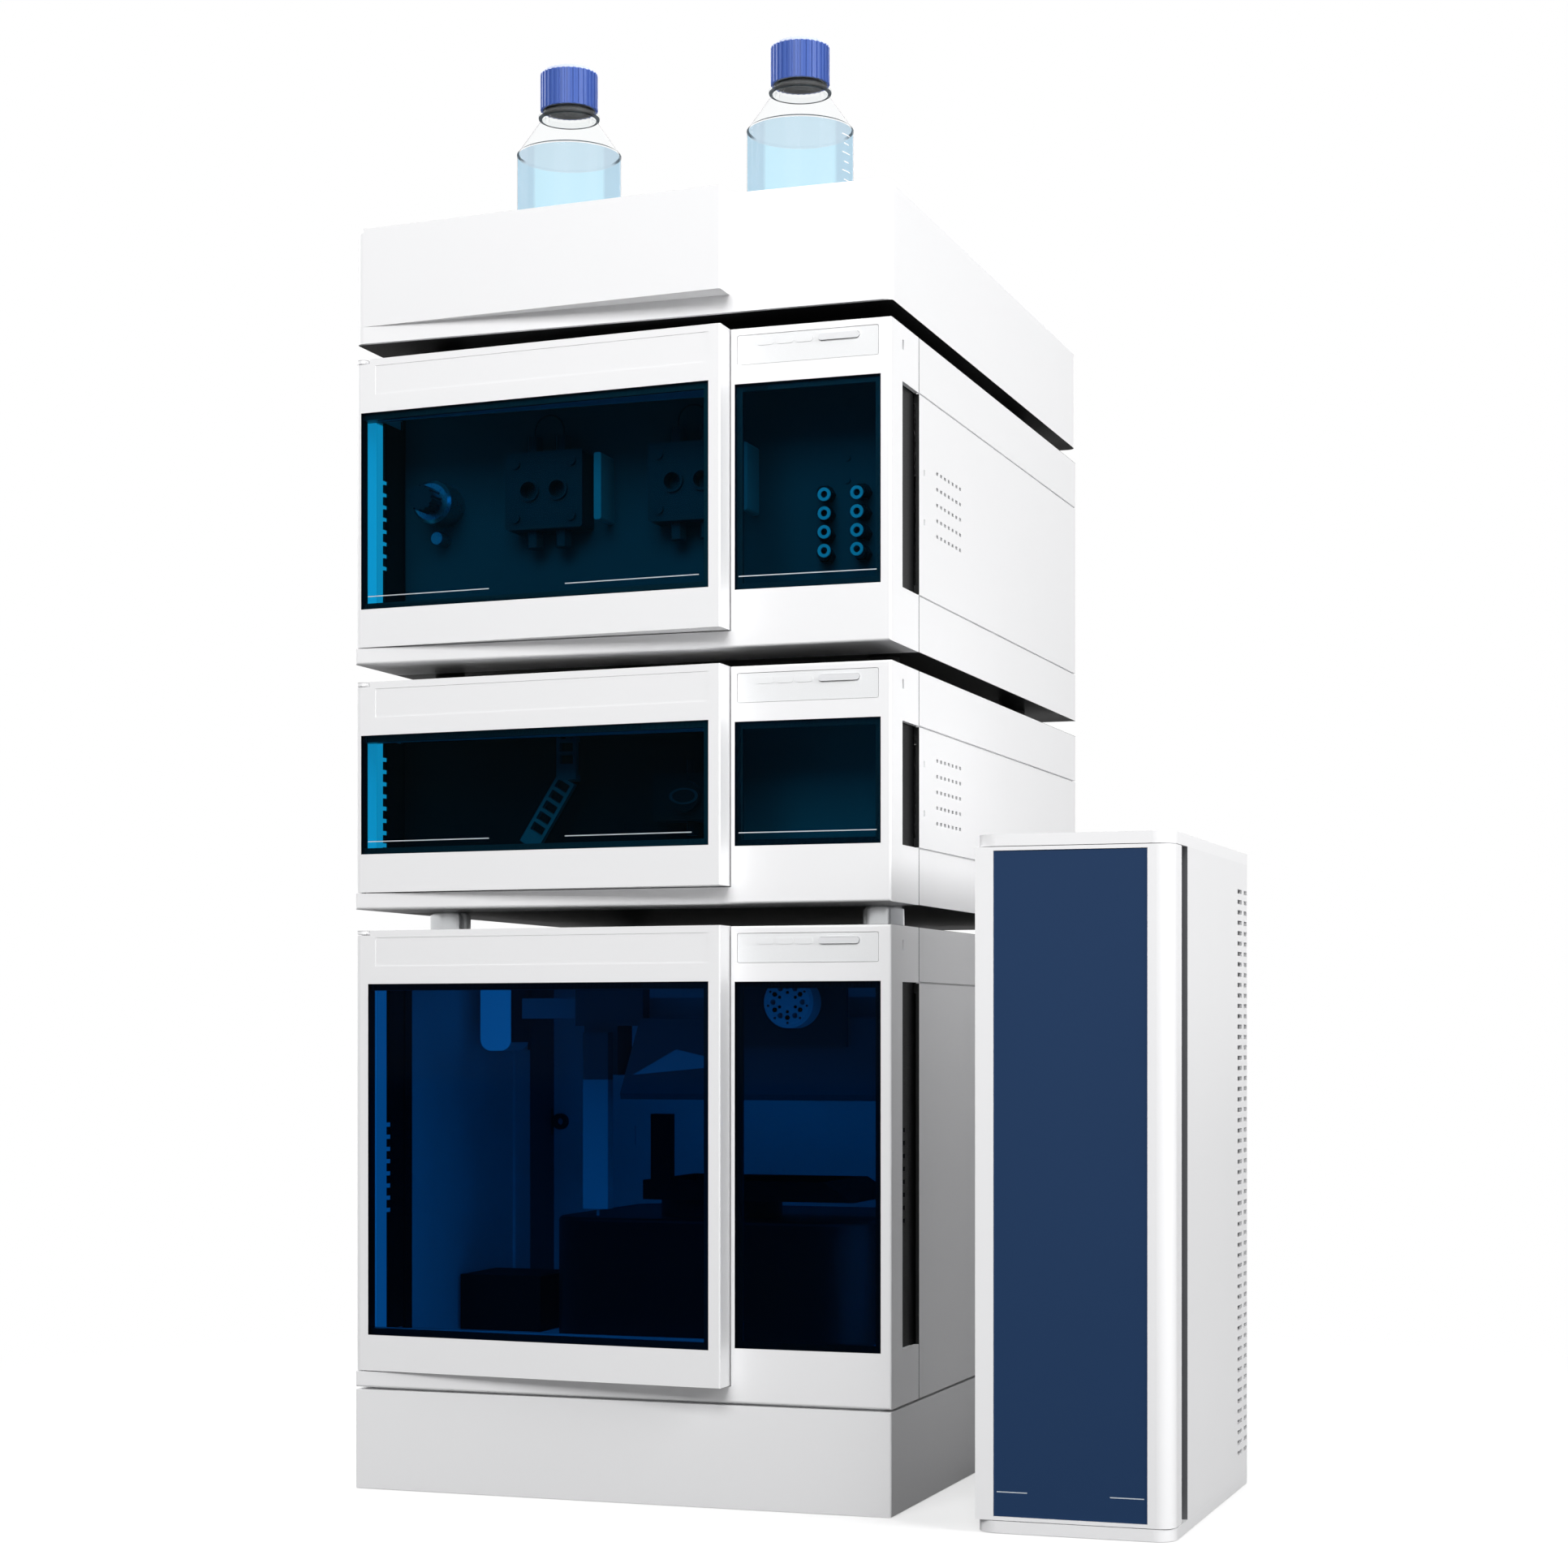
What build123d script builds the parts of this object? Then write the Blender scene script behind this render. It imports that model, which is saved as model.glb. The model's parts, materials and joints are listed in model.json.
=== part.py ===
from build123d import *
import os
from dataclasses import dataclass
from math import cos, radians, sin, sqrt, tan

# Liquid chromatography set: a stack of autosampler, detector and pump with an eluent tray and
# two solvent bottles on top, and a column thermostat standing beside it.
# Millimetres. X runs to the right, Y to the back, Z up. The origin is the middle of the
# plinth's underside, so every front face looks along -Y.

# ---- stack, overall ----
stack_width = 361.0
stack_depth = 480.0
plinth_height = 63.4
plinth_seam = 1.6
plinth_rim = 11.0
plinth_pad_inset = 7.0
sampler_height = 294.0
detector_height = 146.2
pump_height = 196.2
detector_foot_height = 13.8
pump_foot_height = 11.6
tray_foot_height = 10.4

# ---- shared sheet metal and clearances ----
sheet = 2.0
seam = 0.6
seat_gap = 0.3
groove = 1.2
joggle = 1.5
joggle_overlap = 6.0

# ---- front frame and its windows ----
frame_depth = 59.0
frame_wall = 3.0
front_edge_radius = 1.5
sill_height = 35.5
sampler_sill_height = 34.0
lintel_height = 34.5
side_slot_start = 23.8
pane_thickness = 3.0
pane_ledge = 2.5
pane_ledge_width = 4.0
pane_gap = 0.15
right_window_inset = 2.5
right_window_margin = 6.7
latch_hole_depth = 3.0
latch_hole_size = (3.0, 6.0)
latch_hole_drop = 9.0

# ---- wedge doors ----
door_width = 257.0
door_lift = 10.8
door_gap = 0.6
door_side_gap = 1.0
door_rear_gap = 0.5
door_swell_angle = 3.8
door_wall = 2.5
door_edge_radius = 1.0
hinge_radius = 4.0
hinge_pin_radius = 1.5
hinge_pin_fit = 0.05
pin_press_gap = 0.015
hinge_pin_engagement = 7.0
lug_height = 2.4
lug_reach = 6.6
door_stile = 9.0
door_window_start = 4.2
sampler_window_start = 9.4
door_window_margin = 8.2
label_recess_depth = 0.25
label_recess_margin = 4.0

# ---- status strip and standby key ----
strip_inset = 3.9
strip_margin = 7.8
strip_corner = 1.2
strip_drop = 4.5
strip_height = 18.4
strip_recess = 1.2
strip_thickness = 1.0
strip_gap = 0.3
lamp_count = 3
lamp_length = 11.4
lamp_pitch = 12.55
lamp_inset = 31.0
lamp_relief = 0.3
pill_height = 4.0
pill_drop = 9.5
key_margin = 12.3
key_length = 26.1
key_gap = 0.25
key_proud = 1.0
key_flange = 1.0
key_flange_thickness = 1.2

# ---- front bays ----
comb_thickness = 1.5
comb_reach = 27.0
comb_notch_count = 8
comb_notch_pitch = 8.0
comb_notch_size = (5.2, 2.8)
comb_centre_share = 0.47
sampler_bay_depth = 240.0
sampler_floor_height = 24.0
sampler_bay_headroom = 22.0

# ---- side vents ----
vent_rows = 5
vent_row_pitch = 10.0
vent_slots = 7
vent_slot_size = (4.6, 2.2)
vent_start = 101.0
vent_end = 155.0
panel_mark_size = (1.6, 4.0)
panel_mark_start = 71.6
panel_mark_spacing = 31.0

# ---- rear panels ----
fan_radius = 38.0
fan_slot_width = 4.0
fan_slot_pitch = 8.0
inlet_size = (27.0, 20.0)
inlet_depth = 18.0
inlet_lift = 30.0
inlet_side = 45.0
inlet_flange = 3.0
inlet_wall = 2.0
contact_size = (2.0, 4.0, 9.0)
contact_spacing = 7.0
network_size = (16.0, 13.5)
header_size = (32.0, 9.0)
socket_depth = 12.0
socket_spacing = 42.0

# ---- feet ----
foot_inset_side = 29.3
foot_inset_front = 80.0
foot_spacing_y = 320.0
steel_foot_radius = 13.4
steel_foot_waist = 1.2
rubber_foot_radius = 10.0
rubber_foot_taper = 1.0

# ---- pump, on its front wall ----
head_centres = (114.5, 214.0)
head_height_above_base = 113.0
head_size = (54.0, 50.0, 20.0)
head_edge_radius = 2.0
chamber_spacing = 20.0
chamber_radius = 5.5
chamber_ring = 1.6
head_screw_radius = 3.2
head_screw_inset = 7.5
head_screw_proud = 2.0
valve_radius = 5.4
valve_length = 11.0
capillary_radius = 0.9
capillary_rise = 4.0
clamp_offset = 38.5
clamp_size = (5.0, 43.0, 22.0)
clamp_edge_radius = 1.6
purge_centre = 35.0
purge_height_above_base = 109.8
purge_body_radius = 14.0
purge_body_length = 22.0
purge_rim = 2.0
purge_knob_radius = 8.5
purge_knob_length = 15.0
purge_flute_count = 12
purge_flute_radius = 1.0
purge_stem_radius = 4.0
purge_stem_length = 10.0
running_gap = 0.05
drain_radius = 4.0
drain_drop = 22.5
drain_length = 13.0
port_columns = (301.5, 325.6)
port_rows = 4
port_pitch = 12.9
port_top_above_base = 101.6
port_nut_radius = 5.2
port_nut_length = 8.0
port_collar_radius = 3.9
port_collar_length = 4.0
port_bore_radius = 2.3
wall_screws = ((314.0, 160.4), (314.0, 124.4), (314.0, 110.3))
wall_screw_radius = 2.2
wall_screw_height = 1.4

# ---- detector, on its front wall ----
guide_width = 13.7
guide_thickness = 4.0
guide_reach = 14.0
guide_rail = 2.2
guide_pitch = 8.0
guide_rung = 2.2
guide_top_u = 129.5
guide_straight = 28.0
guide_slant_length = 50.0
guide_slant_angle = 32.4
flow_cell_u = 214.0
flow_cell_above_base = 70.0
flow_cell_size = (46.0, 30.0, 22.0)
flow_cell_lens_radius = 10.0
flow_cell_lens_length = 5.0
flow_cell_nut_radius = 4.0
flow_cell_nut_length = 9.0
flow_cell_edge_radius = 2.0

# ---- autosampler bay ----
compartment_start = 86.0
compartment_end = 309.0
compartment_front = 110.0
compartment_back = 285.0
compartment_height = 81.0
compartment_corner = 26.0
compartment_edge = 3.0
turntable_centre = (190.0, 168.0)
turntable_radius = 41.0
turntable_height = 12.3
tray_plate_start = 151.5
tray_plate_size = (147.0, 96.0)
tray_plate_height = 13.0
tray_plate_slope = 20.0
tray_plate_wall = 2.5
tray_plate_floor = 3.0
tray_arm_size = (14.0, 8.0, 44.0)
tray_arm_start = 3.0
gantry_start = 137.0
gantry_slant = 15.5
gantry_front = 112.0
gantry_back = 190.0
gantry_low = 184.0
gantry_high = 238.0
gantry_edge = 4.0
rail_start = 50.0
rail_front = 150.0
rail_size = (16.0, 14.0)
valve_plate = (215.0, 298.0)
valve_plate_thickness = 6.0
valve_plate_low = 219.0
injection_u = 264.5
injection_drop = 46.0
injection_radius = 16.8
injection_length = 18.0
injection_edge = 2.0
injection_port_count = 6
injection_port_radius = 1.9
injection_port_circle = 10.0
carriage_size = (24.2, 26.0, 66.0)
carriage_start = 107.4
carriage_head_size = (49.0, 12.0, 33.0)
carriage_head_start = 101.0
carriage_low = 200.0
carriage_edge_radius = 2.0
needle_width = 18.0
needle_depth = 9.0
needle_length = 118.0
needle_low = 110.5
needle_tip_radius = 1.0
needle_tip_length = 4.5
slide_gap = 0.3
syringe_cover_start = 18.5
syringe_cover_width = 23.0
syringe_cover_front = 150.0
syringe_cover_depth = 30.0
syringe_cover_low = 216.0
syringe_cover_corner = 8.0
corner_strip_size = (3.0, 41.0)
wall_cover_size = (2.0, 26.0)
pipe_clip_place = (15.0, 163.0)
pipe_clip_radius = 6.0
pipe_clip_bore = 2.6
pipe_clip_depth = 4.0
wall_hole_places = ((180.5, 129.0), (190.4, 129.0))
wall_hole_radius = 1.6
wall_slot_place = (74.4, 153.0)
wall_slot_size = (1.6, 14.0)
wall_mark_depth = 1.2
wash_box_start = 8.0
wash_box_size = (60.0, 60.0, 38.0)
wash_box_front = 140.0

# ---- eluent tray ----
tray_height = 74.0
tray_rim = 9.0
tray_floor = 7.8
tray_corner = 6.0
tray_edge = 3.0
tray_front_lift = 10.8

# ---- solvent bottles ----
bottle_places = ((80.0, 162.0), (248.0, 162.0))
bottle_radius = 35.75
bottle_wall = 2.2
bottle_foot_radius = 7.0
bottle_shoulder_z = 155.0
bottle_shoulder_height = 20.0
bottle_collar_radius = 19.5
neck_radius = 16.4
neck_bore_radius = 13.9
bottle_height = 205.5
solvent_level = 152.0
solvent_gap = 0.3
pouring_ring_radius = 21.0
pouring_ring_height = 3.6
cap_radius = 19.0
cap_rib_count = 32
cap_rib_size = (1.5, 1.5)
cap_height = 27.0
cap_top = 3.0
cap_top_chamfer = 2.0
cap_turn_gap = 0.35
seal_thickness = 1.2
seal_gap = 0.3

# ---- column thermostat ----
oven_start = 422.0
oven_front = -31.0
oven_width = 118.0
oven_depth = 250.0
oven_height = 409.5
oven_plate = 7.0
oven_corner = 12.0
oven_door_thickness = 23.4
oven_door_gap = 0.4
oven_door_edge = 10.0
oven_hinge_radius = 5.0
oven_hinge_pin_radius = 2.0
oven_hinge_pin_length = 5.0
oven_panel_start = 11.0
oven_panel_end = 102.7
oven_panel_thickness = 2.0
oven_panel_recess = 0.6
oven_panel_inset = 2.2
oven_bezel_start = 24.2
oven_bezel_depth = 16.4
oven_bezel_inset = 12.0
oven_bay_size = (70.0, 330.0)
oven_bay_depth = 60.0
oven_vent_rows = 55
oven_vent_pitch = 6.68
oven_vent_slot_height = 2.7
oven_vent_columns = ((204.0, 222.0), (226.0, 247.0))
oven_vent_low = 23.3
oven_vent_margin = 1.4
block_size = (52.0, 22.0, 290.0)
block_edge = 5.5
column_radius = 6.5
column_length = 250.0
column_nut_radius = 8.0
column_nut_length = 14.0
column_offset = 12.0
clip_count = 3
clip_spacing = 95.0
clip_height = 12.0
clip_wall = 1.6
clip_mouth = 10.4

# ---- derived places ----
left = -stack_width / 2
right = stack_width / 2
front = -stack_depth / 2
back = stack_depth / 2
front_wall = pane_thickness + pane_ledge
hinge_x = left + hinge_radius
hinge_y = front + hinge_radius
door_rear = front + 2 * hinge_radius
door_seat = door_rear + door_rear_gap
door_end = left + door_width
divider = door_end + door_side_gap
window_x = (divider + right_window_inset, right - right_window_margin)
strip_x = (divider + strip_inset, right - strip_margin)
key_x = (strip_x[1] - key_margin - key_length, strip_x[1] - key_margin)
housing_start = front + frame_depth + seam
wall_start = housing_start + seat_gap
inner_half = right - sheet - joggle - seat_gap
swell = radians(door_swell_angle)
swell_tan = tan(swell)

os.makedirs("parts", exist_ok=True)


@dataclass
class Module:
    name: str
    base: float
    height: float
    sill: float
    window_start: float
    split_sides: bool

    @property
    def top(self):
        return self.base + self.height

    @property
    def window_low(self):
        return self.base + self.sill

    @property
    def window_high(self):
        return self.top - lintel_height

    @property
    def strip_z(self):
        return self.top - strip_drop - strip_height, self.top - strip_drop


sampler_base = plinth_height + plinth_seam
sampler = Module("sampler", sampler_base, sampler_height, sampler_sill_height, sampler_window_start, False)
detector = Module("detector", sampler.top + detector_foot_height, detector_height, sill_height,
                  door_window_start, True)
pump = Module("pump", detector.top + pump_foot_height, pump_height, sill_height, door_window_start, True)
modules = (sampler, detector, pump)
tray_base = pump.top + tray_foot_height
tray_top = tray_base + tray_height


# ---- drawing helpers, used inside a part's block ----
def facing(y):
    """Plane that looks to the front, with X to the right and Z up."""
    return Plane(origin=(0, y, 0), x_dir=(1, 0, 0), z_dir=(0, -1, 0))


def sideways(x):
    """Plane that looks to the right, with Y as its first axis and Z up."""
    return Plane(origin=(x, 0, 0), x_dir=(0, 1, 0), z_dir=(1, 0, 0))


def middle(span):
    return (span[0] + span[1]) / 2


def upright(x, y, z, corner=0.0, mode=Mode.ADD):
    """Plan rectangle between the limits x and y, raised from z[0] to z[1]."""
    with BuildSketch(Plane.XY.offset(z[0])) as plan:
        with Locations((middle(x), middle(y))):
            if corner:
                RectangleRounded(x[1] - x[0], y[1] - y[0], corner)
            else:
                Rectangle(x[1] - x[0], y[1] - y[0])
    extrude(plan.sketch, amount=z[1] - z[0], mode=mode)


def cut(x, y, z):
    upright(x, y, z, mode=Mode.SUBTRACT)


def turned(x, z, y_rear, radius, length, mode=Mode.ADD):
    """Round stud from the plane y_rear towards the front."""
    with BuildSketch(facing(y_rear)) as end:
        with Locations((x, z)):
            Circle(radius)
    extrude(end.sketch, amount=length, mode=mode)


def write(part, name):
    part.label = name
    export_step(part, f"parts/{name}.step")


def from_left(u):
    return left + u


def from_front(v):
    return front + v


def door_face(x):
    """Y of the wedge door's front face at x."""
    tangent_x = hinge_x - hinge_radius * sin(swell)
    return hinge_y - hinge_radius * cos(swell) - (x - tangent_x) * swell_tan


def door_plane():
    """Plane on the wedge's front face, its origin over the hinge edge at floor level."""
    origin = (hinge_x - hinge_radius * sin(swell), hinge_y - hinge_radius * cos(swell), 0)
    return Plane(origin=origin, x_dir=(cos(swell), -sin(swell), 0), z_dir=(-sin(swell), -cos(swell), 0))


def along_door(u):
    """Distance along the wedge's face for a place u across the module."""
    return (from_left(u) - hinge_x + hinge_radius * sin(swell)) / cos(swell)


def pill(x_span, z, height):
    with Locations((middle(x_span), z)):
        SlotOverall(x_span[1] - x_span[0], height)


def strip_field(m, trim):
    """Outline of a status strip, trimmed all round."""
    width, height = strip_x[1] - strip_x[0] - 2 * trim, strip_height - 2 * trim
    with Locations((middle(strip_x), middle(m.strip_z))):
        RectangleRounded(width, height, strip_corner - trim)


# ---- autosampler plinth ----
with BuildPart() as plinth:
    upright((left, right), (front, back), (0, plinth_height))
    fillet(plinth.edges().filter_by(Axis.Z), front_edge_radius)
    cut((left + sheet, right - sheet), (front + sheet, back - sheet), (sheet, plinth_height - sheet))
    rim = plinth_rim
    mouth_z = (plinth_height - 2 * sheet, plinth_height + sheet)
    cut((left + rim, right - rim), (front + rim, back - rim), mouth_z)
write(plinth.part, "plinth")


# ---- housings ----
def wall_strip(z, y_end):
    """Both joggled strips that back a groove between two side panels."""
    for side in (-1, 1):
        inner = side * (right - sheet - joggle)
        outer = side * (right - sheet)
        upright(sorted((inner, outer)), (housing_start, y_end), z)


def make_chassis(m):
    side_top = (m.window_low if m.split_sides else m.window_high) - groove / 2
    with BuildPart() as chassis:
        with BuildSketch(facing(housing_start)):
            with Locations((0, (m.base + side_top) / 2)):
                Rectangle(stack_width, side_top - m.base)
            with Locations((0, (m.base + sheet + side_top) / 2)):
                Rectangle(stack_width - 2 * sheet, side_top - m.base - sheet, mode=Mode.SUBTRACT)
        extrude(amount=-(back - housing_start))
        wall_strip((side_top - joggle_overlap, side_top + groove + joggle_overlap), back - 2 * sheet)
        if m is sampler:
            rim = plinth_pad_inset
            upright((left + rim, right - rim), (front + rim, back - rim), (plinth_height, m.base))
    return chassis.part


def make_top_cover(m):
    side_low = m.window_high + groove / 2
    with BuildPart() as cover:
        with BuildSketch(facing(housing_start)):
            with Locations((0, (side_low + m.top) / 2)):
                Rectangle(stack_width, m.top - side_low)
            with Locations((0, (side_low + m.top - sheet) / 2)):
                Rectangle(stack_width - 2 * sheet, m.top - side_low - sheet, mode=Mode.SUBTRACT)
        extrude(amount=-(back - housing_start))
        if m.split_sides:
            wall_strip((side_low - groove - joggle_overlap, side_low + joggle_overlap), back - 2 * sheet)
    return cover.part


def make_side_panels(m):
    low, high = m.window_low + groove / 2, m.window_high - groove / 2
    slot_pitch = (vent_end - vent_start) / (vent_slots - 1)
    with BuildPart() as panels:
        for side in (-1, 1):
            upright(sorted((side * (right - sheet), side * right)), (housing_start, back), (low, high))
        with BuildSketch(sideways(left - sheet)):
            with Locations((from_front((vent_start + vent_end) / 2), (low + high) / 2)):
                with GridLocations(slot_pitch, vent_row_pitch, vent_slots, vent_rows):
                    Rectangle(*vent_slot_size)
            with Locations((from_front(panel_mark_start), (low + high) / 2)):
                with GridLocations(0, panel_mark_spacing, 1, 2):
                    Rectangle(*panel_mark_size)
        extrude(amount=stack_width + 2 * sheet, mode=Mode.SUBTRACT)
    return panels.part


def fan_slots(x, z):
    """Upright slots that fill a circle."""
    count = int((fan_radius - fan_slot_width) // fan_slot_pitch)
    for step in range(-count, count + 1):
        offset = step * fan_slot_pitch
        with Locations((x + offset, z)):
            Rectangle(fan_slot_width, 2 * sqrt(fan_radius**2 - offset**2))


def socket_row(m):
    """Centres of the mains inlet, network socket and header in a module's rear panel."""
    z = m.base + inlet_lift
    x = left + inlet_side
    return (x, z), (x + socket_spacing, z), (x + 2 * socket_spacing, z)


def make_rear_panel(m):
    inlet, network, header = socket_row(m)
    half = right - sheet - seat_gap
    with BuildPart() as panel:
        z = (m.base + sheet + seat_gap, m.top - sheet - seat_gap)
        upright((-half, half), (back - sheet, back), z)
        with BuildSketch(facing(back - 2 * sheet)):
            fan_slots(right - 2 * fan_radius, m.base + m.height / 2)
            holes = ((inlet, inlet_size), (network, network_size), (header, header_size))
            for centre, size in holes:
                with Locations(centre):
                    Rectangle(*size)
        extrude(amount=-3 * sheet, mode=Mode.SUBTRACT)
    return panel.part


def socket(x, z, y_rear, size, depth, hollow=True):
    """Socket in a cut-out, its flange flat on the panel, with an open mouth if hollow."""
    half_x, half_z = size[0] / 2 - pane_gap, size[1] / 2 - pane_gap
    upright((x - half_x, x + half_x), (y_rear - depth, y_rear), (z - half_z, z + half_z))
    rim_x, rim_z = half_x + inlet_flange, half_z + inlet_flange
    upright((x - rim_x, x + rim_x), (y_rear, y_rear + sheet), (z - rim_z, z + rim_z))
    if hollow:
        half_x, half_z = half_x - inlet_wall, half_z - inlet_wall
        floor = y_rear - depth + inlet_wall
        cut((x - half_x, x + half_x), (floor, y_rear + 2 * sheet), (z - half_z, z + half_z))


def mains_contacts(x, z, y_rear):
    width, height, length = contact_size
    floor = y_rear - inlet_depth + inlet_wall
    for offset, lift in ((-contact_spacing, 0), (0, height / 2), (contact_spacing, 0)):
        x_span = (x + offset - width / 2, x + offset + width / 2)
        upright(x_span, (floor, floor + length), (z + lift - height / 2, z + lift + height / 2))


# ---- front frames ----
def make_front_frame(m):
    low, high = m.window_low, m.window_high
    rear = front + frame_depth
    door_low = m.base + door_lift
    with BuildPart() as frame:
        with BuildSketch(facing(front)):
            with Locations((0, m.base + m.height / 2)):
                Rectangle(stack_width, m.height)
        extrude(amount=-frame_depth)
        fillet(frame.faces().sort_by(Axis.Y)[0].edges(), front_edge_radius)
        cut((left - 1, divider), (front - 1, door_seat), (door_low - door_gap, m.top + 1))
        inside_z = (m.base + frame_wall, m.top - frame_wall)
        cut((left + frame_wall, right - frame_wall), (door_seat + frame_wall, rear), inside_z)
        cut((divider + frame_wall, right - frame_wall), (front + front_wall, rear), inside_z)
        # window openings: the left one is seen through the door, the right one has its own pane
        ledge = pane_ledge_width
        cut((left + frame_wall, door_end - 2 * ledge), (front, rear), (low + ledge, high - ledge))
        cut(window_x, (front - 1, front + pane_thickness), (low, high))
        cut((window_x[0] + ledge, window_x[1] - ledge), (front, rear), (low + ledge, high - ledge))
        # cable slots in both side walls, open towards the housing
        cut((left - 1, right + 1), (from_front(side_slot_start), rear + 1), (low, high))
        # latch holes in the side walls
        depth, height = latch_hole_size
        latch_y = from_front(side_slot_start)
        for side in (left, right):
            cut((side - latch_hole_depth, side + latch_hole_depth), (latch_y, latch_y + depth),
                (m.top - latch_hole_drop - height, m.top - latch_hole_drop))
        # shallow seat for the status strip, and the standby key's pocket
        with BuildSketch(facing(front)):
            strip_field(m, 0)
        extrude(amount=-strip_recess, mode=Mode.SUBTRACT)
        pocket = key_flange + key_gap
        with BuildSketch(facing(front)):
            pill((key_x[0] - pocket, key_x[1] + pocket), m.top - pill_drop,
                 pill_height + 2 * pocket)
        extrude(amount=-2 * front_wall, mode=Mode.SUBTRACT)
        # upper hinge lug, level with the top, and the holes for both hinge pins
        with BuildSketch(Plane.XY.offset(m.top - lug_height)):
            with Locations((hinge_x, hinge_y)):
                Circle(hinge_radius)
            with Locations((hinge_x, (hinge_y + door_seat + frame_wall) / 2)):
                Rectangle(2 * hinge_radius, door_seat + frame_wall - hinge_y)
        extrude(amount=lug_height)
        with BuildSketch(Plane.XY.offset(m.base + frame_wall)):
            with Locations((hinge_x, hinge_y)):
                Circle(hinge_pin_radius + pin_press_gap)
        extrude(amount=m.height, mode=Mode.SUBTRACT)
    return frame.part


def make_right_window(m):
    with BuildPart() as pane:
        x = (window_x[0] + pane_gap, window_x[1] - pane_gap)
        upright(x, (front, front + pane_thickness), (m.window_low + pane_gap, m.window_high - pane_gap))
    return pane.part


def door_window_span(m):
    return along_door(m.window_start), along_door(door_width - door_window_margin)


def make_door(m):
    low, high = m.base + door_lift, m.top
    face = door_plane()
    with BuildPart() as door:
        with BuildSketch(Plane.XY.offset(low)):
            with BuildLine():
                start = (hinge_x - hinge_radius * sin(swell), hinge_y - hinge_radius * cos(swell))
                nose = (door_end, door_face(door_end))
                Polyline(start, nose, (door_end, door_rear), (hinge_x, door_rear))
                ThreePointArc((hinge_x, door_rear), (left, hinge_y), start)
            make_face()
        extrude(amount=high - low)
        skin = door.faces().sort_by(Axis.Y)[0]
        fillet(skin.edges().filter_by(Axis.Z).sort_by(Axis.X)[-1:], door_edge_radius)
        # hollow behind the face, open to the rear
        with BuildSketch(Plane.XY.offset(low + door_wall)):
            with BuildLine():
                x_in, x_out = hinge_x + door_stile, door_end - door_wall
                depth = front_wall / cos(swell)
                Polyline((x_in, door_face(x_in) + depth), (x_out, door_face(x_out) + depth),
                         (x_out, door_rear), (x_in, door_rear), close=True)
            make_face()
        extrude(amount=high - low - 2 * door_wall, mode=Mode.SUBTRACT)
        # pane seat and opening
        seat = door_window_span(m)
        ledge = pane_ledge_width
        opening = (seat[0], seat[1] - ledge)
        for span, trim, depth in ((seat, 0.0, pane_thickness), (opening, ledge, door_width)):
            with BuildSketch(face):
                with Locations((middle(span), (m.window_low + m.window_high) / 2)):
                    Rectangle(span[1] - span[0], m.window_high - m.window_low - 2 * trim)
            extrude(amount=-depth, mode=Mode.SUBTRACT)
        # shallow label field above the window
        field_start = hinge_radius + lug_reach + label_recess_margin
        field = (along_door(field_start), along_door(door_width - 2 * label_recess_margin))
        with BuildSketch(face):
            with Locations((middle(field), middle(m.strip_z))):
                Rectangle(field[1] - field[0], strip_height)
        extrude(amount=-label_recess_depth, mode=Mode.SUBTRACT)
        # room for the frame's lug, then both pin holes
        notch_z = (high - lug_height - door_gap, high + 1)
        cut((left - 1, hinge_x + lug_reach), (front - front_wall, door_rear + 1), notch_z)
        with BuildSketch(Plane.XY.offset(low - 1)):
            with Locations((hinge_x, hinge_y)):
                Circle(hinge_pin_radius + hinge_pin_fit)
        extrude(amount=hinge_pin_engagement + 2, mode=Mode.SUBTRACT)
        with BuildSketch(Plane.XY.offset(high - lug_height - door_gap - hinge_pin_engagement - 1)):
            with Locations((hinge_x, hinge_y)):
                Circle(hinge_pin_radius + hinge_pin_fit)
        extrude(amount=hinge_pin_engagement + 2, mode=Mode.SUBTRACT)
    return door.part


def make_door_window(m):
    span = door_window_span(m)
    with BuildPart() as pane:
        with BuildSketch(door_plane()):
            with Locations((middle(span), (m.window_low + m.window_high) / 2)):
                Rectangle(span[1] - span[0] - 2 * pane_gap, m.window_high - m.window_low - 2 * pane_gap)
        extrude(amount=-pane_thickness)
    return pane.part


def make_standby_key(m):
    z = m.top - pill_drop
    flange_y = front + strip_recess
    with BuildPart() as key:
        with BuildSketch(facing(flange_y)):
            pill(key_x, z, pill_height)
        extrude(amount=strip_recess + key_proud)
        with BuildSketch(facing(flange_y)):
            pill((key_x[0] - key_flange, key_x[1] + key_flange), z, pill_height + 2 * key_flange)
        extrude(amount=-key_flange_thickness)
    return key.part


# ---- front bays ----
def comb(m, side):
    """Cable comb behind a side slot: an upright strip with notches in its front edge."""
    x = sorted((side * inner_half, side * (inner_half - comb_thickness)))
    y = from_front(m.window_start + comb_reach)
    upright(x, (y, wall_start + sheet), (m.window_low, m.window_high))
    depth, height = comb_notch_size
    z = m.window_low + (m.window_high - m.window_low) * comb_centre_share
    for step in range(comb_notch_count):
        notch_z = z + (step - (comb_notch_count - 1) / 2) * comb_notch_pitch
        cut(x, (y - depth, y + depth), (notch_z - height / 2, notch_z + height / 2))


def make_wall_bay(m):
    """Upright wall close behind the front frame, with a comb at each side."""
    with BuildPart() as bay:
        z = (m.base + sheet + seat_gap, m.top - sheet - seat_gap)
        upright((-inner_half, inner_half), (wall_start, wall_start + sheet), z)
        for side in (-1, 1):
            comb(m, side)
    return bay.part


for m in modules:
    write(make_chassis(m), f"{m.name}_chassis")
    write(make_top_cover(m), f"{m.name}_top_cover")
    write(make_front_frame(m), f"{m.name}_front_frame")
    write(make_door(m), f"{m.name}_door")
    write(make_door_window(m), f"{m.name}_door_window")
    write(make_standby_key(m), f"{m.name}_standby_key")

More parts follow.
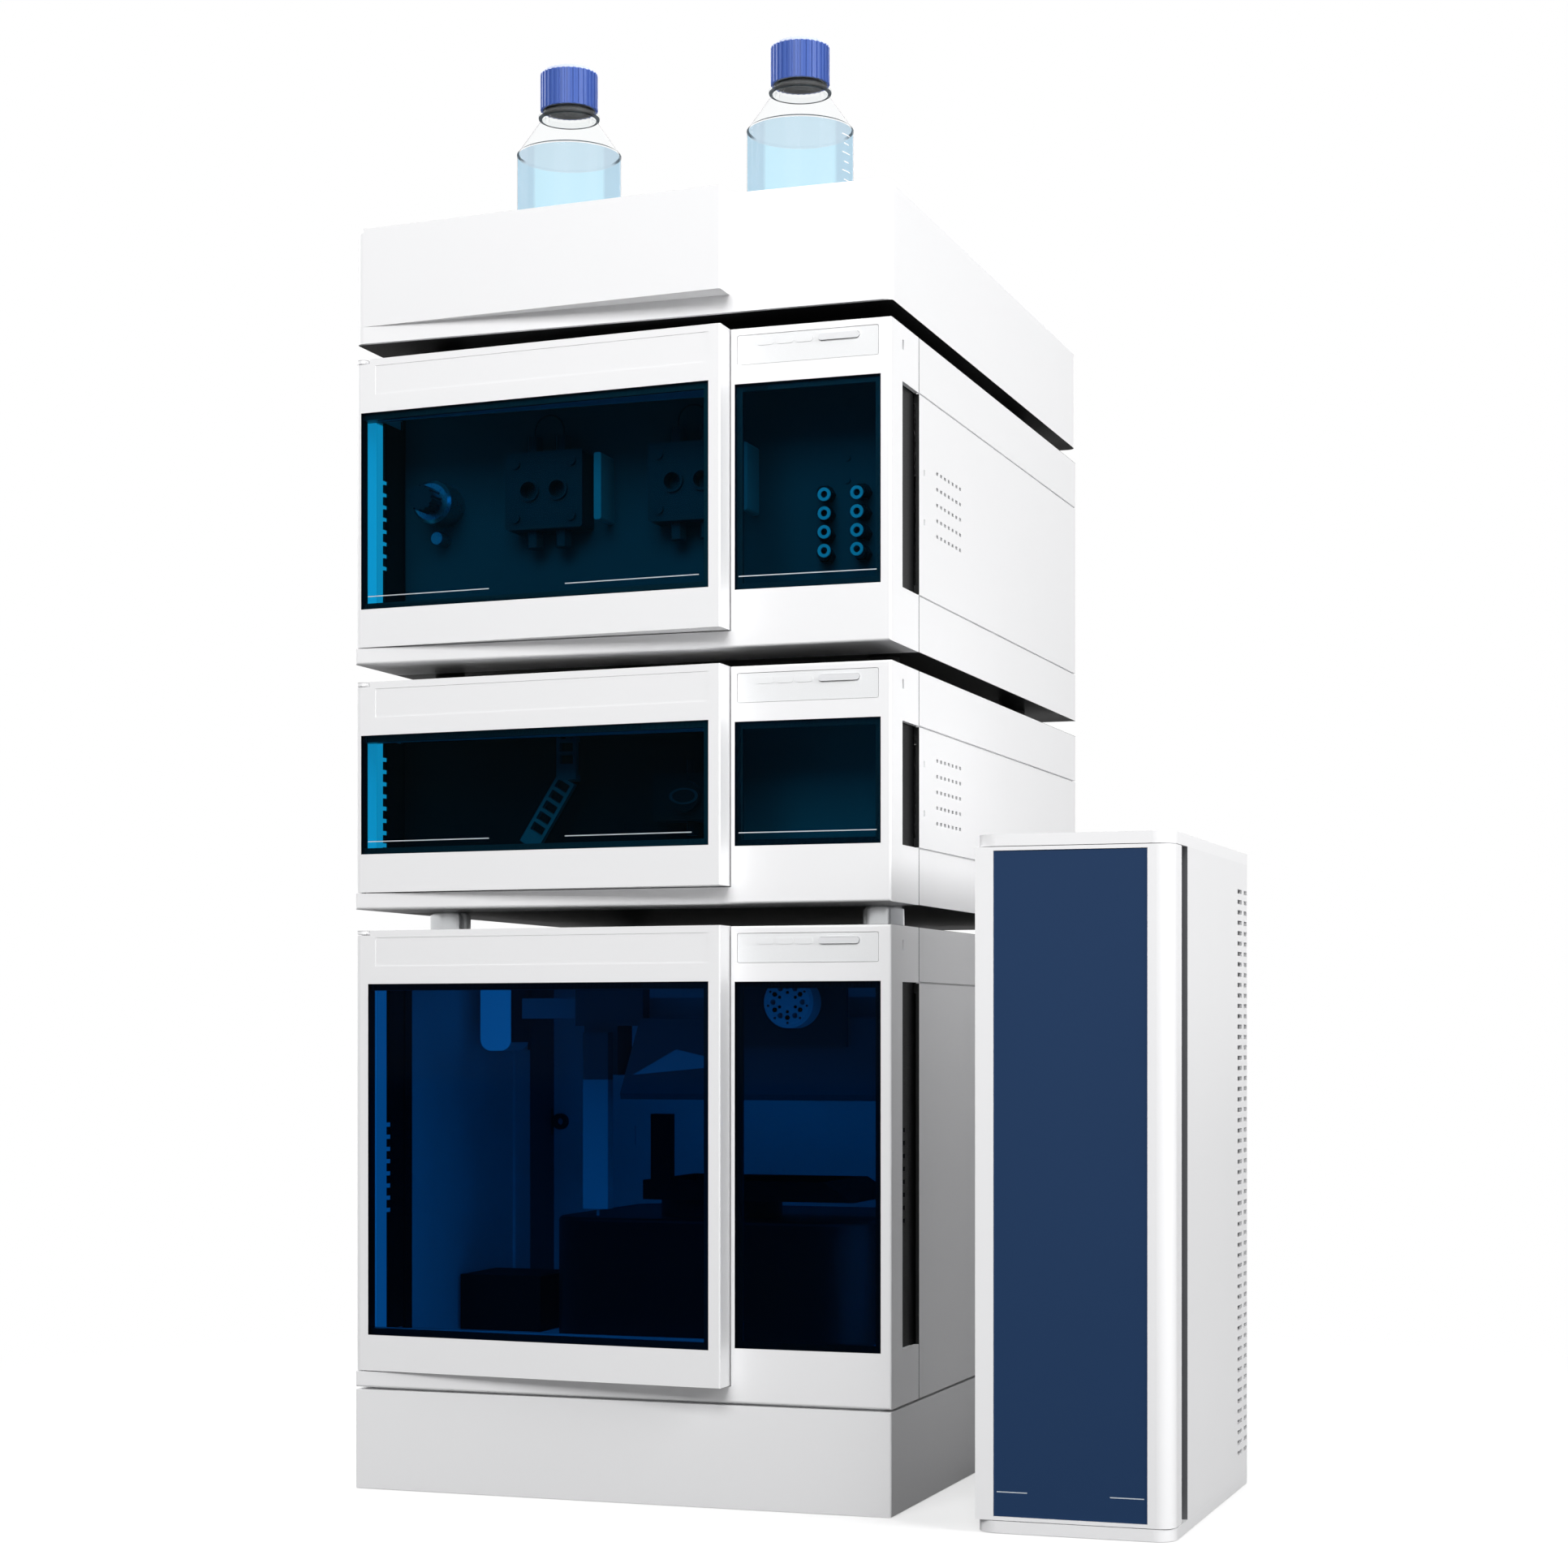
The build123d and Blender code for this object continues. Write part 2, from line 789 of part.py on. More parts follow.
write(Compound(children=[make_right_window(m) for m in modules]), "right_windows")
write(Compound(children=[make_rear_panel(m) for m in modules]), "rear_panels")
write(Compound(children=[make_side_panels(m) for m in modules if m.split_sides]), "side_panels")

# status strips: three plates, each with raised lamp fields and a hole for the standby key
with BuildPart() as status_strips:
    for m in modules:
        y = front + strip_recess
        with BuildSketch(facing(y)):
            strip_field(m, strip_gap)
        extrude(amount=strip_thickness)
        with BuildSketch(facing(y - strip_thickness)):
            for step in range(lamp_count):
                x = strip_x[0] + lamp_inset + (step - (lamp_count - 1) / 2) * lamp_pitch
                pill((x - lamp_length / 2, x + lamp_length / 2), m.top - pill_drop, pill_height)
        extrude(amount=lamp_relief)
        with BuildSketch(facing(front - 1)):
            pill((key_x[0] - key_gap, key_x[1] + key_gap), m.top - pill_drop,
                 pill_height + 2 * key_gap)
        extrude(amount=-(1 + 2 * strip_recess), mode=Mode.SUBTRACT)
write(status_strips.part, "status_strips")

write(make_wall_bay(detector), "detector_bay")

# ---- pump front wall ----
wall_y = wall_start
with BuildPart() as pump_bay:
    z = (pump.base + sheet + seat_gap, pump.top - sheet - seat_gap)
    upright((-inner_half, inner_half), (wall_start, wall_start + sheet), z)
    for side in (-1, 1):
        comb(pump, side)
    for u, lift in wall_screws:
        turned(from_left(u), pump.base + lift, wall_y, wall_screw_radius, wall_screw_height)
write(pump_bay.part, "pump_bay")

head_z = pump.base + head_height_above_base
with BuildPart() as pump_heads:
    width, height, depth = head_size
    block_z = (head_z - height / 2, head_z + height / 2)
    for u in head_centres:
        x = from_left(u)
        upright((x - width / 2, x + width / 2), (wall_y - depth, wall_y), block_z)
    fillet(pump_heads.edges().filter_by(Axis.Y), head_edge_radius)
    for u in head_centres:
        x = from_left(u)
        with BuildSketch(facing(wall_y - depth)):
            with Locations((x, head_z)):
                with GridLocations(chamber_spacing, 0, 2, 1):
                    Circle(chamber_radius + chamber_ring)
                with GridLocations(width - 2 * head_screw_inset, height - 2 * head_screw_inset, 2, 2):
                    Circle(head_screw_radius)
        extrude(amount=head_screw_proud)
        with BuildSketch(facing(wall_y - depth - head_screw_proud)):
            with Locations((x, head_z)):
                with GridLocations(chamber_spacing, 0, 2, 1):
                    Circle(chamber_radius)
        extrude(amount=-depth / 2, mode=Mode.SUBTRACT)
        with BuildSketch(Plane.XY.offset(head_z - height / 2 - valve_length)):
            with Locations((x, wall_y - depth / 2)):
                with GridLocations(chamber_spacing, 0, 2, 1):
                    RegularPolygon(valve_radius, 6)
        extrude(amount=valve_length)
        with BuildSketch(Plane.XY.offset(head_z + height / 2)):
            with Locations((x, wall_y - depth / 2)):
                with GridLocations(chamber_spacing, 0, 2, 1):
                    RegularPolygon(valve_radius, 6)
        extrude(amount=valve_length)
write(pump_heads.part, "pump_heads")

with BuildPart() as head_clamps:
    width, height, depth = clamp_size
    block_z = (head_z - height / 2, head_z + height / 2)
    for u in head_centres:
        x = from_left(u + clamp_offset)
        upright((x - width / 2, x + width / 2), (wall_y - depth, wall_y), block_z)
    fillet(head_clamps.edges().filter_by(Axis.Y), clamp_edge_radius)
write(head_clamps.part, "head_clamps")

# steel capillary that joins both chambers of each head in an arch
with BuildPart() as pump_capillaries:
    foot_z = head_z + head_size[1] / 2 + valve_length
    arch_y = wall_y - head_size[2] / 2
    for u in head_centres:
        x = from_left(u)
        with BuildLine(facing(arch_y)) as arch:
            Line((x - chamber_spacing / 2, foot_z), (x - chamber_spacing / 2, foot_z + capillary_rise))
            ThreePointArc((x - chamber_spacing / 2, foot_z + capillary_rise),
                          (x, foot_z + capillary_rise + chamber_spacing / 2),
                          (x + chamber_spacing / 2, foot_z + capillary_rise))
            Line((x + chamber_spacing / 2, foot_z + capillary_rise), (x + chamber_spacing / 2, foot_z))
        with BuildSketch(Plane.XY.offset(foot_z)):
            with Locations((x - chamber_spacing / 2, arch_y)):
                Circle(capillary_radius)
        sweep(path=arch.line)
write(pump_capillaries.part, "pump_capillaries")

purge_x, purge_z = from_left(purge_centre), pump.base + purge_height_above_base
with BuildPart() as purge_valve:
    turned(purge_x, purge_z, wall_y, purge_body_radius, purge_body_length)
    chamfer(purge_valve.faces().sort_by(Axis.Y)[0].edges(), purge_rim)
    turned(purge_x, purge_z, wall_y - purge_body_length + purge_stem_length + 1,
           purge_stem_radius + running_gap, purge_stem_length + 2, mode=Mode.SUBTRACT)
    turned(purge_x, purge_z - drain_drop, wall_y, drain_radius, drain_length)
write(purge_valve.part, "purge_valve")

with BuildPart() as purge_knob:
    knob_rear = wall_y - purge_body_length - seat_gap
    with BuildSketch(facing(knob_rear)):
        with Locations((purge_x, purge_z)):
            Circle(purge_knob_radius)
            with PolarLocations(purge_knob_radius, purge_flute_count):
                Circle(purge_flute_radius, mode=Mode.SUBTRACT)
    extrude(amount=purge_knob_length)
    turned(purge_x, purge_z, knob_rear + purge_stem_length, purge_stem_radius, purge_stem_length)
write(purge_knob.part, "purge_knob")

with BuildPart() as degasser_ports:
    for u in port_columns:
        for row in range(port_rows):
            x, z = from_left(u), pump.base + port_top_above_base - row * port_pitch
            with BuildSketch(facing(wall_y)):
                with Locations((x, z)):
                    RegularPolygon(port_nut_radius, 6)
            extrude(amount=port_nut_length)
            turned(x, z, wall_y - port_nut_length, port_collar_radius, port_collar_length)
            turned(x, z, wall_y - port_nut_length, port_bore_radius, port_collar_length, mode=Mode.SUBTRACT)
write(degasser_ports.part, "degasser_ports")

# ---- detector front wall ----
with BuildPart() as light_guide:
    top_z = detector.window_high + joggle_overlap
    bend_z = detector.window_high - guide_straight
    guide_x = from_left(guide_top_u)
    guide_y = wall_y - guide_reach

    def ladder(origin, tilt, length):
        """Two rails and rungs, hanging down from origin by length."""
        plane = Plane(origin=origin, x_dir=(cos(tilt), 0, -sin(tilt)), z_dir=(0, -1, 0))
        with BuildSketch(plane) as band:
            with Locations((0, -length / 2)):
                Rectangle(guide_width, length)
            holes = int((length - guide_rung) // guide_pitch)
            for step in range(holes):
                with Locations((0, -guide_rung - step * guide_pitch - (guide_pitch - guide_rung) / 2)):
                    Rectangle(guide_width - 2 * guide_rail, guide_pitch - guide_rung, mode=Mode.SUBTRACT)
        extrude(band.sketch, amount=guide_thickness)

    ladder((guide_x, guide_y, top_z), 0.0, top_z - bend_z)
    ladder((guide_x, guide_y, bend_z), radians(guide_slant_angle), guide_slant_length)
    for z in (top_z - joggle_overlap, bend_z + guide_rung):
        post_x = (guide_x - guide_rail, guide_x + guide_rail)
        upright(post_x, (guide_y, wall_y), (z - guide_rail, z + guide_rail))
write(light_guide.part, "light_guide")

with BuildPart() as flow_cell:
    x, z = from_left(flow_cell_u), detector.base + flow_cell_above_base
    width, height, depth = flow_cell_size
    upright((x - width / 2, x + width / 2), (wall_y - depth, wall_y), (z - height / 2, z + height / 2))
    fillet(flow_cell.edges().filter_by(Axis.Y), flow_cell_edge_radius)
    turned(x, z, wall_y - depth, flow_cell_lens_radius, flow_cell_lens_length)
    for end in (-1, 1):
        with BuildSketch(Plane.XY.offset(z + end * height / 2)):
            with Locations((x, wall_y - depth / 2)):
                RegularPolygon(flow_cell_nut_radius, 6)
        extrude(amount=end * flow_cell_nut_length)
write(flow_cell.part, "flow_cell")

# ---- autosampler bay ----
bay_floor = sampler.base + sampler_floor_height
bay_top = sampler.top - sampler_bay_headroom
bay_back = from_front(frame_depth + sampler_bay_depth)
with BuildPart() as sampler_bay:
    upright((-inner_half, inner_half), (wall_start, bay_back + sheet), (bay_floor - sheet, bay_top + sheet))
    cut((-inner_half + sheet, inner_half - sheet), (wall_start - 1, bay_back), (bay_floor, bay_top))
    for side in (-1, 1):
        comb(sampler, side)
    # covers on the left wall, one in the rear corner
    wall_x, cover_y = -inner_half + sheet, bay_back - corner_strip_size[1]
    upright((wall_x, wall_x + corner_strip_size[0]), (cover_y, bay_back), (bay_floor, bay_top))
    cover_z = (bay_floor, sampler.base + syringe_cover_low)
    upright((wall_x, wall_x + wall_cover_size[0]), (cover_y - wall_cover_size[1], cover_y), cover_z)
    # pipe clip, two holes and a slot in the rear wall
    x, z = from_left(pipe_clip_place[0]), sampler.base + pipe_clip_place[1]
    with BuildSketch(facing(bay_back)):
        with Locations((x, z)):
            Circle(pipe_clip_radius)
            Circle(pipe_clip_bore, mode=Mode.SUBTRACT)
    extrude(amount=pipe_clip_depth)
    with BuildSketch(facing(bay_back)):
        for u, lift in wall_hole_places:
            with Locations((from_left(u), sampler.base + lift)):
                Circle(wall_hole_radius)
        with Locations((from_left(wall_slot_place[0]), sampler.base + wall_slot_place[1])):
            Rectangle(*wall_slot_size)
    extrude(amount=-wall_mark_depth, mode=Mode.SUBTRACT)
    # wash station on the floor
    x, y = from_left(wash_box_start), from_front(wash_box_front)
    upright((x, x + wash_box_size[0]), (y, y + wash_box_size[1]), (bay_floor, bay_floor + wash_box_size[2]))
    # rounded syringe cover, hanging from the ceiling
    x, z = from_left(syringe_cover_start), sampler.base + syringe_cover_low
    y = from_front(syringe_cover_front)
    with BuildSketch(facing(y)) as cover_outline:
        with Locations((x + syringe_cover_width / 2, (z + bay_top) / 2)):
            Rectangle(syringe_cover_width, bay_top - z)
        fillet(cover_outline.vertices().group_by(Axis.Y)[0], syringe_cover_corner)
    extrude(amount=-syringe_cover_depth)
write(sampler_bay.part, "sampler_bay")

# ---- autosampler bay, what stands in it ----
comp_x = (from_left(compartment_start), from_left(compartment_end))
comp_y = (from_front(compartment_front), from_front(compartment_back))
comp_top = bay_floor + compartment_height
turn_x, turn_y = from_left(turntable_centre[0]), from_front(turntable_centre[1])
with BuildPart() as sample_compartment:
    upright(comp_x, comp_y, (bay_floor, comp_top), corner=compartment_corner)
    fillet(sample_compartment.faces().sort_by(Axis.Z)[-1].edges(), compartment_edge)
    with BuildSketch(Plane.XY.offset(comp_top)):
        with Locations((turn_x, turn_y)):
            Circle(turntable_radius)
    extrude(amount=turntable_height)
write(sample_compartment.part, "sample_compartment")

with BuildPart() as sample_tray:
    low = comp_top + turntable_height
    high = low + tray_plate_height
    x = (from_left(tray_plate_start), from_left(tray_plate_start) + tray_plate_size[0])
    y = (turn_y - tray_plate_size[1] / 2, turn_y + tray_plate_size[1] / 2)
    with BuildSketch(facing(y[0])):
        with BuildLine():
            Polyline((x[0], low), (x[1], low), (x[1] - tray_plate_slope, high), (x[0], high), close=True)
        make_face()
    extrude(amount=-tray_plate_size[1])
    well_x = (x[0] + tray_plate_wall, x[1] - tray_plate_slope - tray_plate_wall)
    well_y = (y[0] + tray_plate_wall, y[1] - tray_plate_wall)
    cut(well_x, well_y, (low + tray_plate_floor, high + 1))
    arm_x, arm_y, arm_z = tray_arm_size
    arm_start = well_x[0] + tray_arm_start
    upright((arm_start, arm_start + arm_x), (y[0], y[0] + arm_y), (low + tray_plate_floor, high + arm_z))
write(sample_tray.part, "sample_tray")

gantry_x = (from_left(gantry_start), inner_half - sheet)
gantry_z = (sampler.base + gantry_low, sampler.base + gantry_high)
with BuildPart() as sampler_gantry:
    y0, y1 = from_front(gantry_front), from_front(gantry_back)
    with BuildSketch(facing(y0)):
        with BuildLine():
            Polyline((gantry_x[0], gantry_z[0]), (gantry_x[1], gantry_z[0]), (gantry_x[1], gantry_z[1]),
                     (gantry_x[0] + gantry_slant, gantry_z[1]), close=True)
        make_face()
    extrude(amount=-(y1 - y0))
    chamfer(sampler_gantry.faces().sort_by(Axis.Z)[0].edges().sort_by(Axis.Y)[0], gantry_edge)
    rail_y = from_front(rail_front)
    rail_z = (gantry_z[1], gantry_z[1] + rail_size[1])
    upright((from_left(rail_start), gantry_x[1]), (rail_y, rail_y + rail_size[0]), rail_z)
    plate_x = (from_left(valve_plate[0]), from_left(valve_plate[1]))
    upright(plate_x, (y0 - valve_plate_thickness, y0), (sampler.base + valve_plate_low, bay_top))
write(sampler_gantry.part, "sampler_gantry")

with BuildPart() as injection_valve:
    x, z = from_left(injection_u), sampler.top - injection_drop
    y = from_front(gantry_front) - valve_plate_thickness
    turned(x, z, y, injection_radius, injection_length)
    chamfer(injection_valve.faces().sort_by(Axis.Y)[0].edges(), injection_edge)
    with BuildSketch(facing(y - injection_length)):
        with Locations((x, z)):
            with PolarLocations(injection_port_circle, injection_port_count):
                Circle(injection_port_radius)
    extrude(amount=-injection_length / 2, mode=Mode.SUBTRACT)
write(injection_valve.part, "injection_valve")

carriage_y = from_front(rail_front) - slide_gap
with BuildPart() as needle_carriage:
    width, depth, height = carriage_size
    x, z = from_left(carriage_start), sampler.base + carriage_low
    upright((x, x + width), (carriage_y - depth, carriage_y), (z, z + height))
    fillet(needle_carriage.edges().filter_by(Axis.X).group_by(Axis.Y)[0], carriage_edge_radius)
    head_x, (head_width, head_depth, head_height) = from_left(carriage_head_start), carriage_head_size
    head_y = carriage_y - depth
    crossbar_z = (z + height - head_height, z + height)
    upright((head_x, head_x + head_width), (head_y, head_y + head_depth), crossbar_z)
write(needle_carriage.part, "needle_carriage")

with BuildPart() as needle_unit:
    x = from_left(carriage_start) + carriage_size[0] / 2
    y = carriage_y - carriage_size[1] - slide_gap
    z = sampler.base + needle_low
    upright((x - needle_width / 2, x + needle_width / 2), (y - needle_depth, y), (z, z + needle_length))
    with BuildSketch(Plane.XY.offset(z)):
        with Locations((x, y - needle_depth / 2)):
            Circle(needle_tip_radius)
    extrude(amount=-needle_tip_length)
write(needle_unit.part, "needle_unit")

# ---- eluent tray ----
with BuildPart() as eluent_tray:
    upright((left, right), (front, back), (tray_base, tray_top), corner=tray_corner)
    fillet(eluent_tray.faces().sort_by(Axis.Z)[-1].edges(), tray_edge)
    with BuildSketch(Plane.XY.offset(tray_base + tray_front_lift)):
        with BuildLine():
            nose = (door_end, door_face(door_end))
            Polyline((left + tray_corner, front), nose, (door_end, front + tray_rim),
                     (left + tray_corner + tray_rim, front + tray_rim), close=True)
        make_face()
    extrude(amount=tray_height - tray_front_lift)
    fillet(eluent_tray.edges().filter_by(Axis.Z).sort_by(Axis.Y)[0], door_edge_radius)
    upright((left + tray_rim, right - tray_rim), (front + tray_rim, back - tray_rim),
            (tray_base + tray_floor, tray_top + 1), corner=tray_corner, mode=Mode.SUBTRACT)
write(eluent_tray.part, "eluent_tray")


# ---- bottles ----
bottle_z = tray_base + tray_floor


def spin_plane(u, v):
    """Half-section plane of a bottle: radius along X, height above the tray floor along Z."""
    return Plane(origin=(from_left(u), from_front(v), bottle_z), x_dir=(1, 0, 0), z_dir=(0, -1, 0))


def spin_axis(u, v):
    return Axis((from_left(u), from_front(v), 0), (0, 0, 1))


def bottle_outline(inset, top):
    """Half-section of the bottle, or of its inside, up to the height top on the neck."""
    radius, foot = bottle_radius - inset, bottle_foot_radius - inset
    shoulder = bottle_shoulder_z + bottle_shoulder_height
    neck = neck_radius if inset == 0 else neck_bore_radius
    collar = bottle_collar_radius if inset == 0 else neck_bore_radius
    with BuildLine() as outline:
        Line((0, inset), (radius - foot, inset))
        RadiusArc((radius - foot, inset), (radius, inset + foot), -foot)
        Polyline((radius, inset + foot), (radius, bottle_shoulder_z - inset), (collar, shoulder - inset))
        if collar > neck:
            Line((collar, shoulder), (neck, shoulder))
        Line((neck, shoulder - inset), (neck, top))
        Polyline((neck, top), (0, top), (0, inset))
    make_face(outline.edges())


with BuildPart() as bottles:
    for place in bottle_places:
        with BuildSketch(spin_plane(*place)):
            bottle_outline(0, bottle_height)
        revolve(axis=spin_axis(*place))
        with BuildSketch(spin_plane(*place)):
            bottle_outline(bottle_wall, bottle_height + 1)
        revolve(axis=spin_axis(*place), mode=Mode.SUBTRACT)
write(bottles.part, "bottles")

with BuildPart() as solvents:
    inset = bottle_wall + solvent_gap
    radius, foot = bottle_radius - inset, bottle_foot_radius - inset
    for place in bottle_places:
        with BuildSketch(spin_plane(*place)):
            with BuildLine():
                Line((0, bottle_wall), (radius - foot, bottle_wall))
                RadiusArc((radius - foot, bottle_wall), (radius, bottle_wall + foot), -foot)
                Polyline((radius, bottle_wall + foot), (radius, solvent_level), (0, solvent_level),
                         (0, bottle_wall))
            make_face()
        revolve(axis=spin_axis(*place))
write(solvents.part, "solvents")

with BuildPart() as pouring_rings:
    ring_low = bottle_z + bottle_shoulder_z + bottle_shoulder_height
    for u, v in bottle_places:
        with BuildSketch(Plane.XY.offset(ring_low)):
            with Locations((from_left(u), from_front(v))):
                Circle(pouring_ring_radius)
                Circle(neck_radius + pane_gap, mode=Mode.SUBTRACT)
        extrude(amount=pouring_ring_height)
    outer_edges = pouring_rings.edges().filter_by(GeomType.CIRCLE).sort_by(SortBy.RADIUS)[-4:]
    fillet(outer_edges, pouring_ring_height / 3)
write(pouring_rings.part, "pouring_rings")

cap_inner_top = bottle_z + bottle_height + seal_thickness + seal_gap
cap_high = cap_inner_top + cap_top
for side, (u, v) in zip(("left", "right"), bottle_places):
    with BuildPart() as cap:
        with BuildSketch(Plane.XY.offset(cap_high - cap_height)):
            with Locations((from_left(u), from_front(v))):
                Circle(cap_radius)
        extrude(amount=cap_height)
        chamfer(cap.faces().sort_by(Axis.Z)[-1].edges(), cap_top_chamfer)
        with BuildSketch(Plane.XY.offset(cap_high - cap_height)):
            with Locations((from_left(u), from_front(v))):
                with PolarLocations(cap_radius, cap_rib_count):
                    Rectangle(*cap_rib_size)
        extrude(amount=cap_height - cap_top_chamfer)
        with BuildSketch(Plane.XY.offset(cap_high - cap_height)):
            with Locations((from_left(u), from_front(v))):
                Circle(neck_radius + cap_turn_gap)
        extrude(amount=cap_height - cap_top, mode=Mode.SUBTRACT)
    write(cap.part, f"cap_{side}")
    with BuildPart() as seal:
        with BuildSketch(Plane.XY.offset(bottle_z + bottle_height)):
            with Locations((from_left(u), from_front(v))):
                Circle(neck_radius)
        extrude(amount=seal_thickness)
    write(seal.part, f"seal_{side}")

# ---- feet between the units ----
foot_places = [
    (side * (right - foot_inset_side), from_front(foot_inset_front) + step * foot_spacing_y)
    for side in (-1, 1)
    for step in (0, 1)
]
with BuildPart() as detector_feet:
    for x, y in foot_places:
        with BuildSketch(Plane.XY.offset(sampler.top)):
            with Locations((x, y)):
                Circle(steel_foot_radius)
        extrude(amount=detector_foot_height - steel_foot_waist)
        with BuildSketch(Plane.XY.offset(detector.base - steel_foot_waist)):
            with Locations((x, y)):
                Circle(steel_foot_radius - steel_foot_waist)
        extrude(amount=steel_foot_waist)
write(detector_feet.part, "detector_feet")

with BuildPart() as rubber_feet:
    for low, height in ((detector.top, pump_foot_height), (pump.top, tray_foot_height)):
        for x, y in foot_places:
            with BuildSketch(Plane.XY.offset(low)):
                with Locations((x, y)):
                    Circle(rubber_foot_radius - rubber_foot_taper)
            with BuildSketch(Plane.XY.offset(low + height)):
                with Locations((x, y)):
                    Circle(rubber_foot_radius)
            loft()
write(rubber_feet.part, "rubber_feet")

# ---- column thermostat ----
oven_x = (from_left(oven_start), from_left(oven_start) + oven_width)
oven_y = (from_front(oven_front), from_front(oven_front) + oven_depth)
oven_z = (oven_plate, oven_height - oven_plate)
oven_mid_x = middle(oven_x)
oven_side_back = oven_y[1] - oven_corner
oven_body_y = oven_y[0] + oven_bezel_start + oven_bezel_depth
oven_hinge = (oven_x[0] + oven_hinge_radius, oven_y[0] + oven_door_thickness - oven_hinge_radius)
oven_socket = (oven_mid_x, inlet_lift + oven_plate)
with BuildPart() as oven_end_plates:
    for z in ((0, oven_plate), (oven_z[1], oven_height)):
        upright(oven_x, oven_y, z, corner=oven_corner)
    with BuildSketch(Plane.XY.offset(oven_plate - oven_hinge_pin_length)):
        with Locations(oven_hinge):
            Circle(oven_hinge_pin_radius + pin_press_gap)
    extrude(amount=oven_z[1] - oven_plate + 2 * oven_hinge_pin_length, mode=Mode.SUBTRACT)
write(oven_end_plates.part, "oven_end_plates")

bay_width, bay_height = oven_bay_size
bay_mid_z = middle(oven_z)
with BuildPart() as oven_casing:
    upright(oven_x, oven_y, oven_z, corner=oven_corner)
    inner_x = (oven_x[0] + sheet, oven_x[1] - sheet)
    upright(inner_x, (oven_body_y + sheet, oven_y[1] - sheet), (0, oven_height), corner=oven_corner - sheet,
            mode=Mode.SUBTRACT)
    cut((oven_x[0] - 1, oven_x[1] + 1), (oven_y[0] - 1, oven_body_y), (0, oven_height))
    cut((inner_x[1], oven_x[1] + 1), (oven_body_y, oven_side_back), (0, oven_height))
    with BuildSketch(facing(oven_body_y)):
        with Locations((oven_mid_x, bay_mid_z)):
            Rectangle(bay_width + 2 * (sheet + seat_gap), bay_height + 2 * (sheet + seat_gap))
    extrude(amount=-4 * sheet, mode=Mode.SUBTRACT)
    with BuildSketch(facing(oven_y[1] - 2 * sheet)):
        with Locations(oven_socket):
            Rectangle(*inlet_size)
    extrude(amount=-3 * sheet, mode=Mode.SUBTRACT)
write(oven_casing.part, "oven_casing")

with BuildPart() as oven_side_panel:
    upright((oven_x[1] - sheet, oven_x[1]), (oven_body_y, oven_side_back - pane_gap), oven_z)
    with BuildSketch(sideways(oven_x[1] - 2 * sheet)):
        for start, end in oven_vent_columns:
            vents_z = oven_vent_low + (oven_vent_rows - 1) * oven_vent_pitch / 2
            with Locations((oven_y[0] + (start + end) / 2, vents_z)):
                with GridLocations(0, oven_vent_pitch, 1, oven_vent_rows):
                    Rectangle(end - start - 2 * oven_vent_margin, oven_vent_slot_height)
    extrude(amount=3 * sheet, mode=Mode.SUBTRACT)
write(oven_side_panel.part, "oven_side_panel")

with BuildPart() as oven_bezel:
    bezel_y = oven_y[0] + oven_bezel_start
    bezel_x = (oven_x[0] + oven_bezel_inset, oven_x[1] - oven_bezel_inset)
    upright(bezel_x, (bezel_y, oven_body_y), (oven_z[0] + seat_gap, oven_z[1] - seat_gap))
    bay_x = (oven_mid_x - bay_width / 2, oven_mid_x + bay_width / 2)
    bay_z = (bay_mid_z - bay_height / 2, bay_mid_z + bay_height / 2)
    liner_y = bezel_y + oven_bay_depth
    liner_z = (bay_z[0] - sheet, bay_z[1] + sheet)
    upright((bay_x[0] - sheet, bay_x[1] + sheet), (oven_body_y, liner_y + sheet), liner_z)
    cut(bay_x, (bezel_y - 1, liner_y), bay_z)
write(oven_bezel.part, "oven_bezel")

with BuildPart() as column_block:
    width, depth, height = block_size
    block_z = (bay_mid_z - height / 2, bay_mid_z + height / 2)
    upright((oven_mid_x - width / 2, oven_mid_x + width / 2), (liner_y - depth, liner_y), block_z)
    chamfer(column_block.edges().filter_by(Axis.Z).group_by(Axis.Y)[0], block_edge)
    clip_y = liner_y - depth - column_offset
    ring = column_radius + slide_gap
    for step in range(clip_count):
        z = bay_mid_z + (step - (clip_count - 1) / 2) * clip_spacing - clip_height / 2
        with BuildSketch(Plane.XY.offset(z)):
            with Locations((oven_mid_x, clip_y)):
                Circle(ring + clip_wall)
            with Locations((oven_mid_x, (clip_y + liner_y - depth) / 2)):
                Rectangle(ring, liner_y - depth - clip_y)
            with Locations((oven_mid_x, clip_y)):
                Circle(ring, mode=Mode.SUBTRACT)
            with Locations((oven_mid_x, clip_y - ring - clip_wall)):
                Rectangle(clip_mouth, ring + clip_wall, mode=Mode.SUBTRACT)
        extrude(amount=clip_height)
write(column_block.part, "column_block")

with BuildPart() as column:
    stub = (column_radius - slide_gap, column_length + 2 * column_nut_length)
    for radius, length in ((column_radius, column_length), stub):
        with BuildSketch(Plane.XY.offset(bay_mid_z - length / 2)):
            with Locations((oven_mid_x, clip_y)):
                Circle(radius)
        extrude(amount=length)
    for end in (-1, 1):
        with BuildSketch(Plane.XY.offset(bay_mid_z + end * column_length / 2)):
            with Locations((oven_mid_x, clip_y)):
                RegularPolygon(column_nut_radius, 6)
        extrude(amount=end * column_nut_length)
write(column.part, "column")

